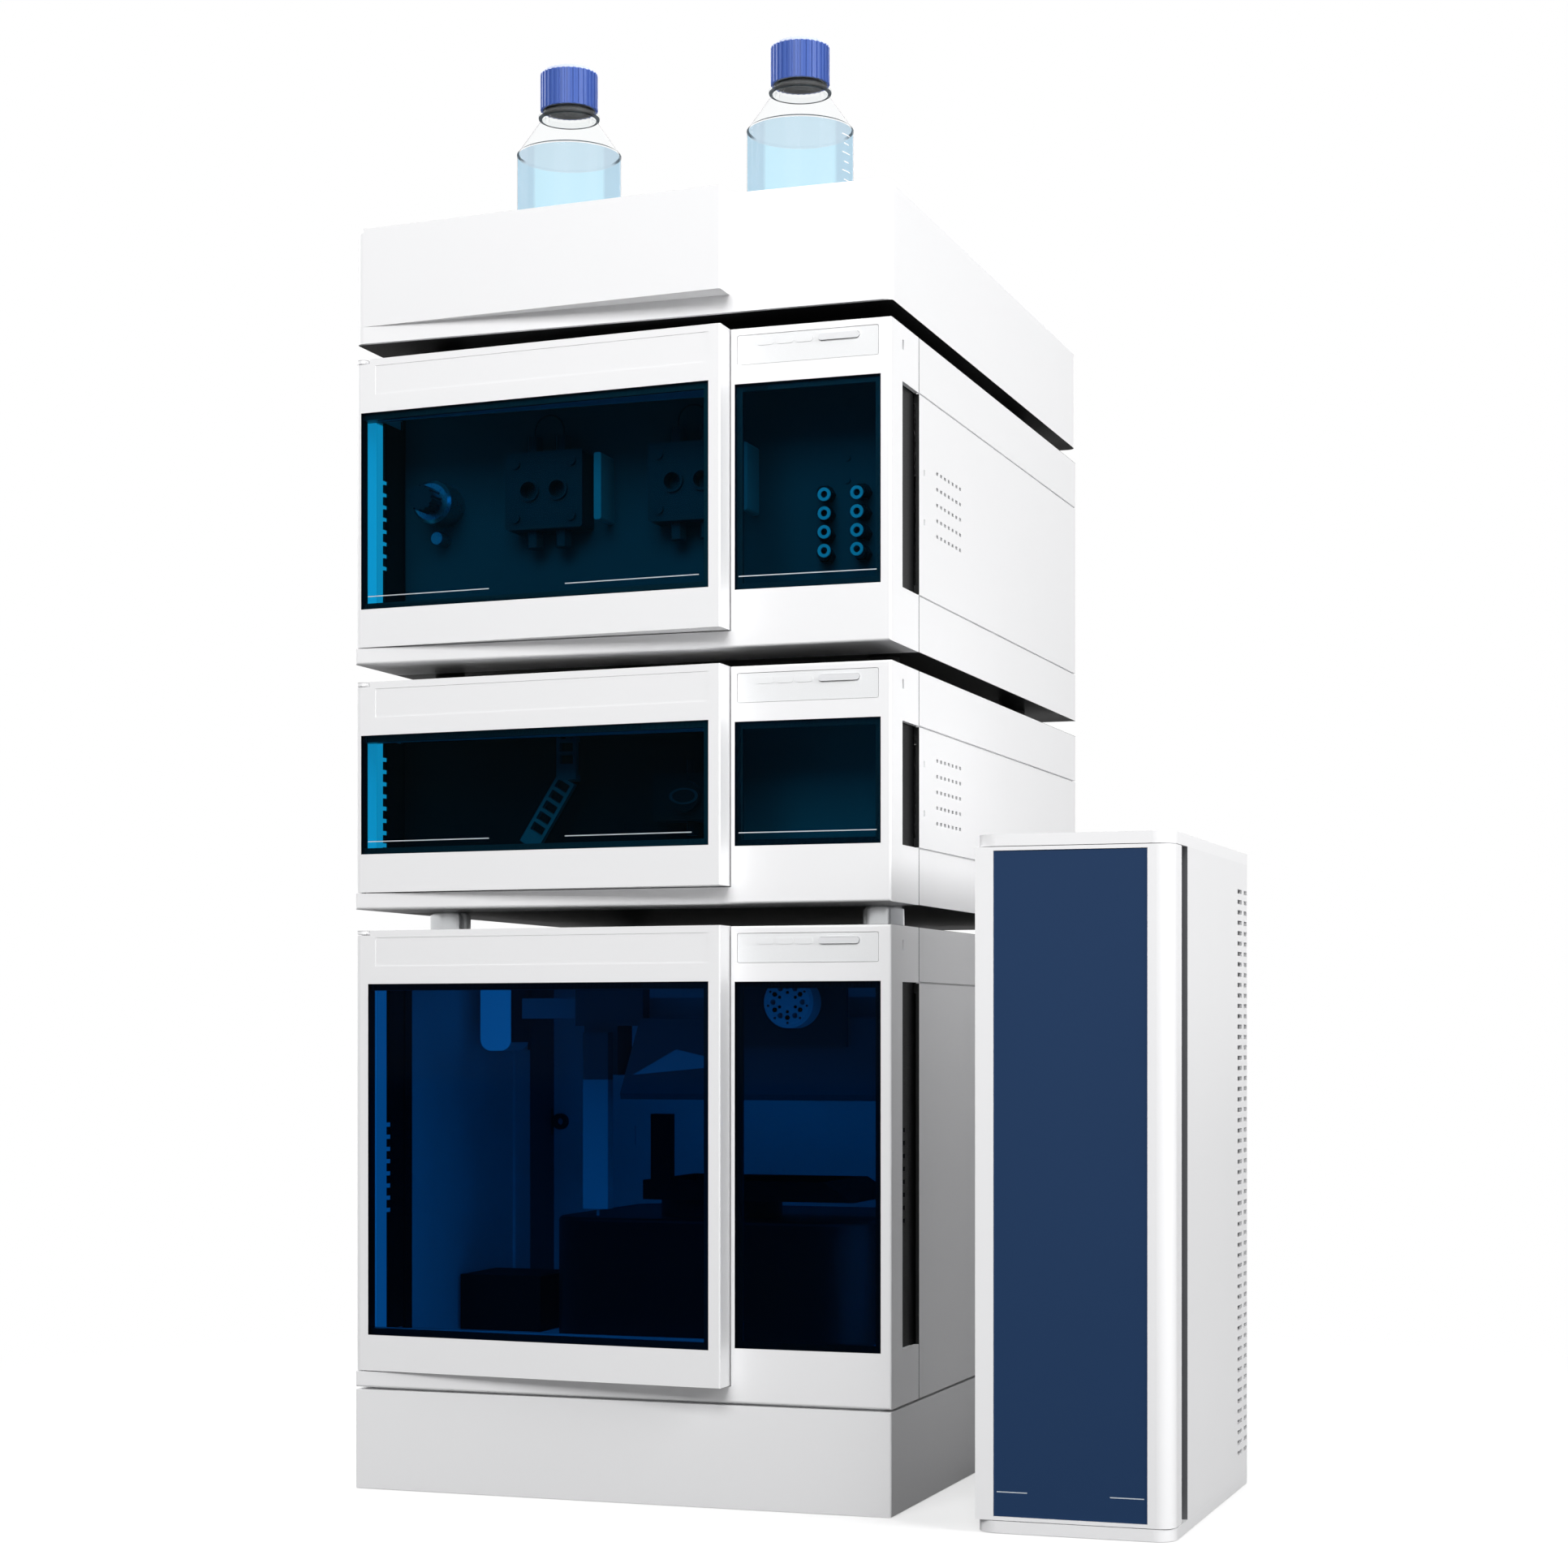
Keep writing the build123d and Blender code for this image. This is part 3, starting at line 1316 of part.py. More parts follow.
door_z = (oven_z[0] + oven_door_gap, oven_z[1] - oven_door_gap)
panel_x = (oven_x[0] + oven_panel_start, oven_x[0] + oven_panel_end)
panel_z = (door_z[0] + oven_panel_inset, door_z[1] - oven_panel_inset)
with BuildPart() as oven_door:
    upright(oven_x, (oven_y[0], oven_y[0] + oven_door_thickness), door_z)
    upright_edges = oven_door.edges().filter_by(Axis.Z)
    rear_left = upright_edges.group_by(Axis.X)[0].sort_by(Axis.Y)[-1]
    fillet(rear_left, oven_hinge_radius)
    front_right = oven_door.edges().filter_by(Axis.Z).group_by(Axis.X)[-1].sort_by(Axis.Y)[0]
    fillet(front_right, oven_door_edge)
    seat_depth = oven_panel_thickness + oven_panel_recess
    cut(panel_x, (oven_y[0] - 1, oven_y[0] + seat_depth), panel_z)
    for z in (door_z[0] - 1, door_z[1] - oven_hinge_pin_length):
        with BuildSketch(Plane.XY.offset(z)):
            with Locations(oven_hinge):
                Circle(oven_hinge_pin_radius + hinge_pin_fit)
        extrude(amount=oven_hinge_pin_length + 1, mode=Mode.SUBTRACT)
write(oven_door.part, "oven_door")

with BuildPart() as oven_door_panel:
    y = oven_y[0] + oven_panel_recess
    inlaid_z = (panel_z[0] + pane_gap, panel_z[1] - pane_gap)
    upright((panel_x[0] + pane_gap, panel_x[1] - pane_gap), (y, y + oven_panel_thickness), inlaid_z)
write(oven_door_panel.part, "oven_door_panel")

# hinge pins: one below and one above each door
with BuildPart() as hinge_pins:
    for m in modules:
        spans = (
            (m.base + frame_wall, m.base + door_lift + hinge_pin_engagement),
            (m.top - lug_height - door_gap - hinge_pin_engagement, m.top),
        )
        for span in spans:
            with BuildSketch(Plane.XY.offset(span[0])):
                with Locations((hinge_x, hinge_y)):
                    Circle(hinge_pin_radius)
            extrude(amount=span[1] - span[0])
    reach = oven_hinge_pin_length + oven_door_gap + oven_hinge_pin_length - seat_gap
    for z in (oven_plate - oven_hinge_pin_length, oven_z[1] + oven_hinge_pin_length - reach):
        with BuildSketch(Plane.XY.offset(z)):
            with Locations(oven_hinge):
                Circle(oven_hinge_pin_radius)
        extrude(amount=reach)
write(hinge_pins.part, "hinge_pins")

# ---- mains inlets and sockets at the rear ----
with BuildPart() as rear_sockets:
    for m in modules:
        inlet, network, header = socket_row(m)
        socket(*inlet, back, inlet_size, inlet_depth)
        mains_contacts(*inlet, back)
        socket(*network, back, network_size, socket_depth)
        socket(*header, back, header_size, socket_depth, hollow=False)
    socket(*oven_socket, oven_y[1], inlet_size, inlet_depth)
    mains_contacts(*oven_socket, oven_y[1])
write(rear_sockets.part, "rear_sockets")
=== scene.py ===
"""Looks of a bench liquid chromatography set: a stack of autosampler, detector and pump under an
eluent tray with two solvent bottles, and a column thermostat beside it. Metres, Z up."""
import json
import math

import bmesh
import bpy
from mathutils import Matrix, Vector


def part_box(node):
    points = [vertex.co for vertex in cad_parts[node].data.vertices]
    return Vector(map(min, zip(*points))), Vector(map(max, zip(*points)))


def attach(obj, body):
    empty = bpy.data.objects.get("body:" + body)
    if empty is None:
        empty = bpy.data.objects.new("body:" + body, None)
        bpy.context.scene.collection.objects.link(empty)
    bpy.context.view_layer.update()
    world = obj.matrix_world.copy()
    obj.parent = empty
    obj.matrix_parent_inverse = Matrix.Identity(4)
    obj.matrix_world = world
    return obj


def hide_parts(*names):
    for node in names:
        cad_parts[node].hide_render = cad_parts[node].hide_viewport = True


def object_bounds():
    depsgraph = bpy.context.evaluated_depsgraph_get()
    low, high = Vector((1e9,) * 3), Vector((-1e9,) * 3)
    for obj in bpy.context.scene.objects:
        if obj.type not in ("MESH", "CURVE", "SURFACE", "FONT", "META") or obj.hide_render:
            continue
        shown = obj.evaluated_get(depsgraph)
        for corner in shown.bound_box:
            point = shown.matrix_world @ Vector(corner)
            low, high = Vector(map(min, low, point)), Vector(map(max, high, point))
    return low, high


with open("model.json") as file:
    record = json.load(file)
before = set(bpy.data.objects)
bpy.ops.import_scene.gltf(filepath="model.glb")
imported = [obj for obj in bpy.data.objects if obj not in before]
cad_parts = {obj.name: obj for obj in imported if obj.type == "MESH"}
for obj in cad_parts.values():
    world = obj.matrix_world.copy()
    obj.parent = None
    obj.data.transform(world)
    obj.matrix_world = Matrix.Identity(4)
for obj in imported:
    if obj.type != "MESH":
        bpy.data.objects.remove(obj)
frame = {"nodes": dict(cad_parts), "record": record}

cad_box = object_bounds()
MM = 0.001
nodes_by_name = frame["nodes"]


def span(node):
    """Lowest and highest corner of a CAD node, as vectors."""
    low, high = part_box(node)
    return Vector(low), Vector(high)


# ---- camera, fitted to the photo's perspective ----
CAMERA_PLACE = (0.6934, -1.9222, 0.2914)
CAMERA_TURN = 19.066
CAMERA_LENS = 66.745
CAMERA_SENSOR = 36.0
CAMERA_SHIFT_UP = 0.1605
camera_data = bpy.data.cameras.new("view")
camera_data.lens = CAMERA_LENS
camera_data.sensor_width = CAMERA_SENSOR
camera_data.shift_y = CAMERA_SHIFT_UP
camera = bpy.data.objects.new("view", camera_data)
camera.location = CAMERA_PLACE
camera.rotation_euler = (math.radians(90), 0, math.radians(CAMERA_TURN))
bpy.context.collection.objects.link(camera)
bpy.context.scene.camera = camera


# ---- shader building blocks ----
def srgb(r, g, b):
    """Linear colour of an sRGB colour given in 0 to 255."""
    return tuple((v / 255 / 12.92) if v <= 10 else ((v / 255 + 0.055) / 1.055) ** 2.4 for v in (r, g, b))


def fill(tree, node, values):
    """Gives a node's inputs, by name or number, their values: an output to link, a linear colour,
    a vector or a number."""
    for key, value in values.items():
        socket = node.inputs[key]
        if isinstance(value, bpy.types.NodeSocket):
            tree.links.new(value, socket)
        elif socket.type == "RGBA":
            socket.default_value = (*value, 1)
        else:
            socket.default_value = value
    return node


def add(tree, kind, values=None, **settings):
    """A new shader node of that kind, with its settings and its inputs' values."""
    node = tree.nodes.new(f"ShaderNode{kind}")
    for key, setting in settings.items():
        setattr(node, key, setting)
    return fill(tree, node, values or {})


def blank(name):
    """A new node material with its node tree and its shader."""
    mat = bpy.data.materials.new(name)
    mat.use_nodes = True
    return mat, mat.node_tree, mat.node_tree.nodes["Principled BSDF"]


def show(tree, output):
    """Makes a shader's output the look of the material."""
    tree.links.new(output, tree.nodes["Material Output"].inputs["Surface"])


def maths(tree, operation, *values):
    """Result of one math node."""
    return add(tree, "Math", dict(enumerate(values)), operation=operation).outputs[0]


def vector_maths(tree, operation, *values):
    """Result of one vector math node, which is a number for a distance."""
    node = add(tree, "VectorMath", dict(enumerate(values)), operation=operation)
    return node.outputs["Value" if operation == "DISTANCE" else "Vector"]


def colour_mix(tree, factor, first, second):
    """Colour that runs from the first to the second."""
    values = {"Factor": factor, "A": first, "B": second}
    return add(tree, "Mix", values, data_type="RGBA").outputs["Result"]


def shader_mix(tree, factor, first, second):
    """Shader that runs from the first to the second."""
    return add(tree, "MixShader", {"Fac": factor, 1: first, 2: second}).outputs[0]


def clear(tree, tint):
    """Shader that lets rays straight through with a tint."""
    return add(tree, "BsdfTransparent", {"Color": tint}).outputs[0]


def noise(tree, scale, detail, stretch=(1, 1, 1)):
    """Noise over the object's own metres, stretched if the surface has a grain."""
    place = add(tree, "TexCoord").outputs["Object"]
    place = add(tree, "Mapping", {"Vector": place, "Scale": stretch}).outputs["Vector"]
    return add(tree, "TexNoise", {"Vector": place, "Scale": scale, "Detail": detail}).outputs["Fac"]


def spread(tree, value, low, high):
    """Maps the usual run of a noise value to low..high."""
    values = {"Value": value, "From Min": 0.3, "From Max": 0.7, "To Min": low, "To Max": high}
    return add(tree, "MapRange", values).outputs["Result"]


def relief(tree, value, height):
    """Normal of a surface whose bumps have that height in metres."""
    values = {"Strength": 1.0, "Distance": height, "Height": value}
    return add(tree, "Bump", values).outputs["Normal"]


def in_round(tree, place, x, y, radius):
    """1 nearer than the radius to the upright axis through x and y, else 0."""
    flat = vector_maths(tree, "MULTIPLY", place, (1, 1, 0))
    return maths(tree, "LESS_THAN", vector_maths(tree, "DISTANCE", flat, (x, y, 0)), radius)


def in_box(tree, place, low, high):
    """1 inside the box between two corners, else 0."""
    middle = [(a + b) / 2 for a, b in zip(low, high)]
    half = [(b - a) / 2 for a, b in zip(low, high)]
    from_middle = vector_maths(tree, "ABSOLUTE", vector_maths(tree, "SUBTRACT", place, middle))
    room = add(tree, "SeparateXYZ", {0: vector_maths(tree, "SUBTRACT", half, from_middle)}).outputs
    least = maths(tree, "MINIMUM", maths(tree, "MINIMUM", room[0], room[1]), room[2])
    return maths(tree, "GREATER_THAN", least, 0.0)


def in_zones(tree, zones):
    """1 inside any of the zones, else 0. A zone is a box, as its lowest and highest corner in
    metres, or a round, as the x and y of its upright axis and its radius."""
    place = add(tree, "TexCoord").outputs["Object"]
    found = [in_round(tree, place, *each) if len(each) == 3 else in_box(tree, place, *each)
             for each in zones]
    inside = found[0]
    for other in found[1:]:
        inside = maths(tree, "MAXIMUM", inside, other)
    return inside


# ---- kinds of material ----
CLOUD_SCALE = 6.0
PANE_BODY = 0.1
PANE_GLOSS = 0.15
PANE_LAMP_PASS = 0.9


def surface(name, colour, roughness, metallic=0.0, *, shade, grain, height, stretch=(1, 1, 1),
            specular=0.5, zones=(), painted_glow=None):
    """Painted, moulded or machined surface: slow colour drift, fine grain in roughness and relief.
    Zones holds pairs of boxes and the colour that the surface has inside them, its own colour in some and
    painted light and shade in others. painted_glow is a list of boxes and the strength of the painted white
    light given off there, where there is no lamp."""
    mat, tree, shader = blank(name)
    drift = noise(tree, CLOUD_SCALE, 2.0)

    def drifting(light):
        dark = tuple(c * (1 - shade) for c in light)
        return colour_mix(tree, spread(tree, drift, 0, 1), dark, light)

    hue = drifting(colour)
    for boxes, zone_colour in zones:
        hue = colour_mix(tree, in_zones(tree, boxes), hue, drifting(zone_colour))
    fine = noise(tree, grain, 3.0, stretch)
    fill(tree, shader, {
        "Base Color": hue,
        "Metallic": metallic,
        "Specular IOR Level": specular,
        "Roughness": spread(tree, fine, roughness * 0.85, roughness * 1.15),
        "Normal": relief(tree, fine, height),
    })
    if painted_glow:
        boxes, strength = painted_glow
        fill(tree, shader, {"Emission Color": (1, 1, 1),
                            "Emission Strength": maths(tree, "MULTIPLY", in_zones(tree, boxes), strength)})
    return mat


def pane(name, tint, body, low_tint=None, switch_height=0.0):
    """Tinted acrylic: what is behind shows through the tint, with a faint body colour and gloss, and
    rays from the lamps pass, so that it is lit. A low_tint colours what lies below the switch height."""
    mat, tree, shader = blank(name)
    smear = noise(tree, 14.0, 3.0)
    fill(tree, shader, {"Base Color": body, "Specular IOR Level": PANE_GLOSS,
                        "Roughness": spread(tree, smear, 0.02, 0.06)})
    if low_tint:
        place = add(tree, "SeparateXYZ", {0: add(tree, "TexCoord").outputs["Object"]})
        above = maths(tree, "GREATER_THAN", place.outputs["Z"], switch_height)
        tint = colour_mix(tree, above, low_tint, tint)
    seen = shader_mix(tree, PANE_BODY, clear(tree, tint), shader.outputs[0])
    lamp_ray = add(tree, "LightPath").outputs["Is Shadow Ray"]
    show(tree, shader_mix(tree, lamp_ray, seen, clear(tree, (PANE_LAMP_PASS,) * 3)))
    return mat


def thin_clear(name, centre, edge, edge_start, edge_end, gloss):
    """Clear thin wall under a gloss: passes light with one tint where it is seen squarely and with
    another at its edge, which runs between two values of how much the wall turns away."""
    mat, tree, shader = blank(name)
    smear = noise(tree, 20.0, 2.0)
    fill(tree, shader, {"Base Color": (1, 1, 1), "Roughness": spread(tree, smear, 0.021, 0.039),
                        "Normal": relief(tree, smear, 0.00001)})
    turned = add(tree, "LayerWeight", {"Blend": 0.5}).outputs["Facing"]
    ramp = add(tree, "MapRange", {"Value": turned, "From Min": edge_start, "From Max": edge_end},
               interpolation_type="SMOOTHSTEP")
    hue = colour_mix(tree, ramp.outputs["Result"], centre, edge)
    show(tree, shader_mix(tree, gloss, clear(tree, hue), shader.outputs[0]))
    return mat


# ---- zones: where a node's colour changes, for its finish and for painted light and shade ----
FAR = 2.0
FACE = 0.2 * MM
PANE_GAP = 0.3 * MM
BAY_FRONT = -180 * MM
MODULES = ("sampler", "detector", "pump")
FRAME_INSIDE = 177 * MM
FRAME_EDGE = 4 * MM
FRAME_FACE_DEPTH = 9 * MM
# painted light: the front of each left wall's inner face glows white, at this x and between these depths
# behind the frame's front
GLOW_PAINTED_WALL_X = -177.5 * MM
GLOW_PAINTED_WALL_DEPTHS = (3 * MM, 24.5 * MM)


def zone(x=(-FAR, FAR), y=(-FAR, FAR), z=(-FAR, FAR)):
    """Box between two values along each axis; along an axis that isn't given it holds everything."""
    return (x[0], y[0], z[0]), (x[1], y[1], z[1])


def at(value):
    """Values of a zone that holds only the faces at one place along an axis."""
    return value - FACE, value + FACE


def pane_hole(across, upright):
    """Zone before the bay that has the width of one pane and the height of another."""
    (left, right), (foot, head) = span(across), span(upright)
    return zone((left.x - PANE_GAP, right.x + PANE_GAP), (-FAR, BAY_FRONT),
                (foot.z - PANE_GAP, head.z + PANE_GAP))


door_holes = [pane_hole(f"{module}_door_window", f"{module}_door_window") for module in MODULES]
right_holes = [pane_hole("right_windows", f"{module}_door_window") for module in MODULES]
frame_spans = [span(f"{module}_front_frame") for module in MODULES]
# painted shade: near black inside the frames' hollows
hollows = [zone((-FRAME_INSIDE, FRAME_INSIDE), (low.y + FRAME_FACE_DEPTH, BAY_FRONT),
                (low.z + FRAME_EDGE, high.z - FRAME_EDGE)) for low, high in frame_spans]
glow_painted_walls = [zone(at(GLOW_PAINTED_WALL_X), [low.y + depth for depth in GLOW_PAINTED_WALL_DEPTHS],
                  (low.z + FRAME_EDGE, high.z - FRAME_EDGE)) for low, high in frame_spans]
# painted shade: the tops and bottoms that face the gaps between modules, and the covers' front edges
shade_painted_tops = [zone(z=at(high.z)) for low, high in frame_spans]
shade_painted_bottoms = [zone(y=(BAY_FRONT, FAR), z=at(span(f"{module}_chassis")[0].z)) for module in MODULES[1:]]
shade_painted_cover_edges = [zone(y=(-180.8 * MM, -179.9 * MM))]
tray_low = span("eluent_tray")[0]
# painted shade: the tray's underside behind its front
painted_shade_tray_bottom = [zone(y=(tray_low.y + 20 * MM, FAR), z=at(tray_low.z))]
comb_rims = [zone(x, (-FAR, -170 * MM)) for x in ((-182 * MM, -174.4 * MM), (174.4 * MM, 182 * MM))]
right_bay = [zone((45 * MM, 174.4 * MM))]
# painted shade: a dark grey line in the gap at the oven casing's front
painted_shade_gap = [zone(y=at(span("oven_casing")[0].y))]

# the autosampler's bay
bay_back = span("sampler_bay")[1].y - 2 * MM
# painted shade: a dark strip in the rear corner of the bay's left wall
painted_shade_corner = [zone((-174.7 * MM, -171.6 * MM), (bay_back - 41.1 * MM, bay_back - 0.1 * MM))]
wash_box = [zone((-172.6 * MM, -112.4 * MM), (-100.1 * MM, -39.9 * MM), (0, 127.2 * MM))]
pipe_clip = [zone((-173 * MM, -158 * MM), (bay_back - 6 * MM, bay_back - 0.4 * MM), (218 * MM, 238 * MM))]
# painted light and shade: a white panel whose front glows though it is no lamp, and its grey side
glow_painted_panel = [zone((-162.1 * MM, -139.1 * MM), (-90.1 * MM, -89.3 * MM), (280 * MM, FAR))]
glow_panel_side_shade = [zone((-139.3 * MM, -138.8 * MM), (-89.3 * MM, -59.9 * MM), (280 * MM, FAR))]
rail = [zone(y=(-119 * MM, FAR), z=(303.1 * MM, FAR))]
valve_plate = [zone((30 * MM, 120 * MM), (-FAR, -133.8 * MM), (280 * MM, FAR))]
needle_head = [zone(z=(262 * MM, FAR))]

# ---- materials ----
# near black: painted shade in the frames' hollows and behind their right windows, on faces that look into
# the gaps between modules and under the tray; also the near black by the combs and in the wash box
BLACK_AND_PAINTED_SHADE = srgb(8, 9, 10)
# painted shade on the reveals of the door windows
PAINTED_SHADE_REVEAL = srgb(14, 17, 19)
MECHANISM_GREY = srgb(92, 96, 100)
TEAL_TINT = (0.058, 0.53, 0.745)
BLUE_TINT = (0.027, 0.245, 0.49)
HOUSING = dict(colour=srgb(242, 242, 243), roughness=0.42, shade=0.015, grain=1400, height=0.000012)
MOULDING = dict(colour=srgb(245, 245, 246), roughness=0.34, shade=0.012, grain=2200, height=0.000006)
MATT_PAINT = dict(grain=1200, height=0.00001, specular=0.2)
TURNED = dict(grain=1500, height=0.00001)
CAP_RIM_RADIUS = 17.9 * MM
CAP_HIGHLIGHT_HEIGHT = 2.6 * MM
BOTTLES = (("left", -0.1005, -0.078), ("right", 0.0675, -0.078))

clear_glass = thin_clear("clear_glass", (0.985, 0.99, 0.99), (0.74, 0.73, 0.74), 0.78, 0.97, 0.03)
# painted dark line at the pouring rings' lower edge, standing in for how the glass bends light there
painted_dark_line = thin_clear("glass_painted_dark_line", (0.10, 0.11, 0.12), (0.05, 0.06, 0.07), 0.4, 0.9, 0.05)
# painted dark line at the bottles' shoulder, standing in for how the glass bends light there
shoulder_painted_line = thin_clear("shoulder_painted_line", (0.97, 0.98, 0.99), (0.09, 0.12, 0.14), 0.42, 0.58, 0.03)
ring_clear = thin_clear("ring_clear", (0.97, 0.98, 0.98), (0.6, 0.6, 0.6), 0.8, 0.98, 0.04)
liquid_side = thin_clear("liquid", (0.765, 0.925, 0.992), (0.69, 0.82, 0.90), 0.26, 0.33, 0.02)
liquid_top = thin_clear("liquid_surface", (0.86, 0.91, 0.95), (0.79, 0.84, 0.89), 0.3, 0.6, 0.03)

slot_looks = {
    "housing_white": surface("powder_coat_white", **HOUSING),
    "moulding_white": surface("moulded_white", **MOULDING),
    "smoked_pane": pane("smoked_acrylic", TEAL_TINT, srgb(3, 10, 14), BLUE_TINT, span("detector_bay")[0].z),
    "blue_pane": pane("blue_acrylic", BLUE_TINT, srgb(2, 10, 22)),
    "strip_white": surface("membrane_white", srgb(238, 239, 240), 0.25, shade=0.01, grain=3000,
                           height=0.000003),
    "key_grey": surface("key_grey", srgb(228, 229, 231), 0.3, shade=0.01, grain=3000, height=0.000003),
    "chassis_dark": surface("rear_paint_grey", srgb(205, 206, 208), 0.45, shade=0.03, grain=1400,
                            height=0.00001),
    "steel": surface("ground_steel", srgb(190, 192, 194), 0.3, 1.0, shade=0.1, grain=600,
                     height=0.000008, stretch=(8, 1, 1)),
    "chrome_foot": surface("turned_foot", srgb(205, 207, 209), 0.16, 1.0, shade=0.05, grain=900,
                           height=0.000003, stretch=(1, 1, 6)),
    "aluminium": surface("milled_aluminium", srgb(196, 198, 200), 0.34, 1.0, shade=0.08, grain=500,
                         height=0.00001, stretch=(1, 1, 10)),
    "black_plastic": surface("black_moulding", srgb(30, 30, 32), 0.42, shade=0.15, grain=1500,
                             height=0.00002),
    "rubber": surface("black_rubber", srgb(36, 36, 37), 0.7, shade=0.2, grain=1800, height=0.00003),
    "bottle_glass": clear_glass,
    "solvent": liquid_side,
    "panel_navy": surface("panel_navy", srgb(33, 58, 93), 0.4, shade=0.05, grain=2600,
                          height=0.000004, specular=0.12),
    "groove_grey": surface("groove_grey", srgb(98, 99, 102), 0.5, shade=0.1, grain=1400,
                           height=0.00002),
}
node_looks = {}


def give(mat, *names):
    """Gives nodes a look of their own instead of their slot's."""
    for name in names:
        node_looks[name] = mat


# housings
# front frames: painted shade, near black, in the hollows, behind the right windows and on the tops, and a
# painted white glow on the front of the left walls' inner faces
give(surface("frame_moulding", **MOULDING, painted_glow=(glow_painted_walls, 0.9),
             zones=((hollows + right_holes + shade_painted_tops, BLACK_AND_PAINTED_SHADE),)),
     *[f"{module}_front_frame" for module in MODULES])
# doors: painted shade, near black, on the reveals of their windows
give(surface("door_moulding", **MOULDING, zones=((door_holes, PAINTED_SHADE_REVEAL),)),
     *[f"{module}_door" for module in MODULES])
# covers and chassis: painted shade, near black, on their tops and bottoms that face a gap and on their front
# edges
give(surface("cover_paint", **HOUSING, zones=((shade_painted_tops + shade_painted_bottoms + shade_painted_cover_edges, BLACK_AND_PAINTED_SHADE),)),
     "side_panels", *[f"{module}_{part}" for module in MODULES for part in ("top_cover", "chassis")])
# tray: painted shade, near black, on its underside behind the front
give(surface("tray_moulding", srgb(245, 245, 246), 0.5, shade=0.012, grain=1500, height=0.00001,
             zones=((painted_shade_tray_bottom, BLACK_AND_PAINTED_SHADE),)), "eluent_tray")
# oven: painted shade, dark grey, in the gap at the casing's front
give(surface("oven_paint", **HOUSING, zones=((painted_shade_gap, srgb(104, 105, 108)),)),
     "oven_casing", "oven_side_panel")

# bays of the pump and the detector
give(surface("pump_bay_paint", srgb(68, 74, 77), 0.5, shade=0.1, **MATT_PAINT,
             zones=((comb_rims, BLACK_AND_PAINTED_SHADE),)), "pump_bay")
give(surface("detector_bay_paint", srgb(7, 8, 8), 0.5, shade=0.1, grain=1200, height=0.00001,
             specular=0.1, zones=((right_bay, srgb(92, 97, 99)), (comb_rims, BLACK_AND_PAINTED_SHADE))),
     "detector_bay")
give(surface("fluidics_dark", srgb(38, 40, 42), 0.45, shade=0.12, grain=700, height=0.00001,
             specular=0.35), "pump_heads", "pump_capillaries")
give(surface("cell_dark", srgb(16, 17, 18), 0.5, shade=0.12, grain=700, height=0.00001, specular=0.1),
     "flow_cell")
give(surface("clamp_steel", srgb(150, 153, 155), 0.4, shade=0.06, grain=700, height=0.000006),
     "head_clamps")
give(surface("chain_grey", srgb(112, 116, 118), 0.5, shade=0.06, grain=900, height=0.000006,
             specular=0.2), "light_guide")
give(surface("port_dark", srgb(14, 15, 16), 0.5, shade=0.2, **TURNED, specular=0.2), "degasser_ports")

# autosampler's mechanism
# sampler bay: painted shade on the rear corner strip and the panel's side, and a painted white glow on the
# panel's front
give(surface("sampler_bay_paint", srgb(225, 227, 229), 0.55, shade=0.04, **MATT_PAINT,
             zones=((comb_rims + wash_box, BLACK_AND_PAINTED_SHADE), (painted_shade_corner, srgb(96, 98, 100)),
                    (pipe_clip, srgb(60, 62, 64)), (glow_panel_side_shade, srgb(84, 88, 92)),
                    (glow_painted_panel, srgb(252, 252, 252))),
             painted_glow=(glow_painted_panel, 0.6)), "sampler_bay")
give(surface("gantry_paint", MECHANISM_GREY, 0.5, shade=0.06, **MATT_PAINT,
             zones=((valve_plate, srgb(66, 68, 70)), (rail, srgb(176, 180, 184)))), "sampler_gantry")
give(surface("compartment_black", srgb(13, 14, 15), 0.42, shade=0.2, grain=900, height=0.0000008,
             specular=0.35), "sample_compartment")
give(surface("tray_black", srgb(12, 12, 13), 0.6, shade=0.2, grain=900, height=0.0000008,
             specular=0.15), "sample_tray")
give(surface("carriage_grey", MECHANISM_GREY, 0.5, shade=0.06, grain=1400, height=0.00001,
             specular=0.2), "needle_carriage")
give(surface("needle_white", srgb(182, 185, 188), 0.45, shade=0.03, grain=1400, height=0.00001,
             specular=0.2, zones=((needle_head, MECHANISM_GREY),)), "needle_unit")
give(surface("valve_face", srgb(225, 228, 230), 0.4, shade=0.05, grain=900, height=0.000006,
             specular=0.3), "injection_valve")

# caps: painted shade, dark grey, inside, and a painted highlight, pale, round the top
for side, x, y in BOTTLES:
    cap = f"cap_{side}"
    highlight_band = [zone(z=(span(cap)[1].z - CAP_HIGHLIGHT_HEIGHT, FAR))]
    give(surface(f"{cap}_blue", srgb(66, 94, 168), 0.42, shade=0.06, grain=1600, height=0.000012,
                 specular=0.25, zones=(([(x, y, CAP_RIM_RADIUS)], srgb(60, 60, 60)),
                                       (highlight_band, srgb(196, 204, 230)))), cap)

for entry in frame["record"]["subparts"]:
    node_materials = nodes_by_name[entry["node"]].data.materials
    node_materials.clear()
    node_materials.append(node_looks.get(entry["node"]) or slot_looks[entry["material_slot"]])


# ---- making pieces ----
WASHER_SEGMENTS = 32


def piece(name, bm, look, body):
    """Finishes a mesh as a piece that rides on a body."""
    bmesh.ops.recalc_face_normals(bm, faces=bm.faces)
    mesh = bpy.data.meshes.new(name)
    bm.to_mesh(mesh)
    bm.free()
    obj = bpy.data.objects.new(name, mesh)
    mesh.materials.append(look)
    bpy.context.collection.objects.link(obj)
    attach(obj, body)
    return obj


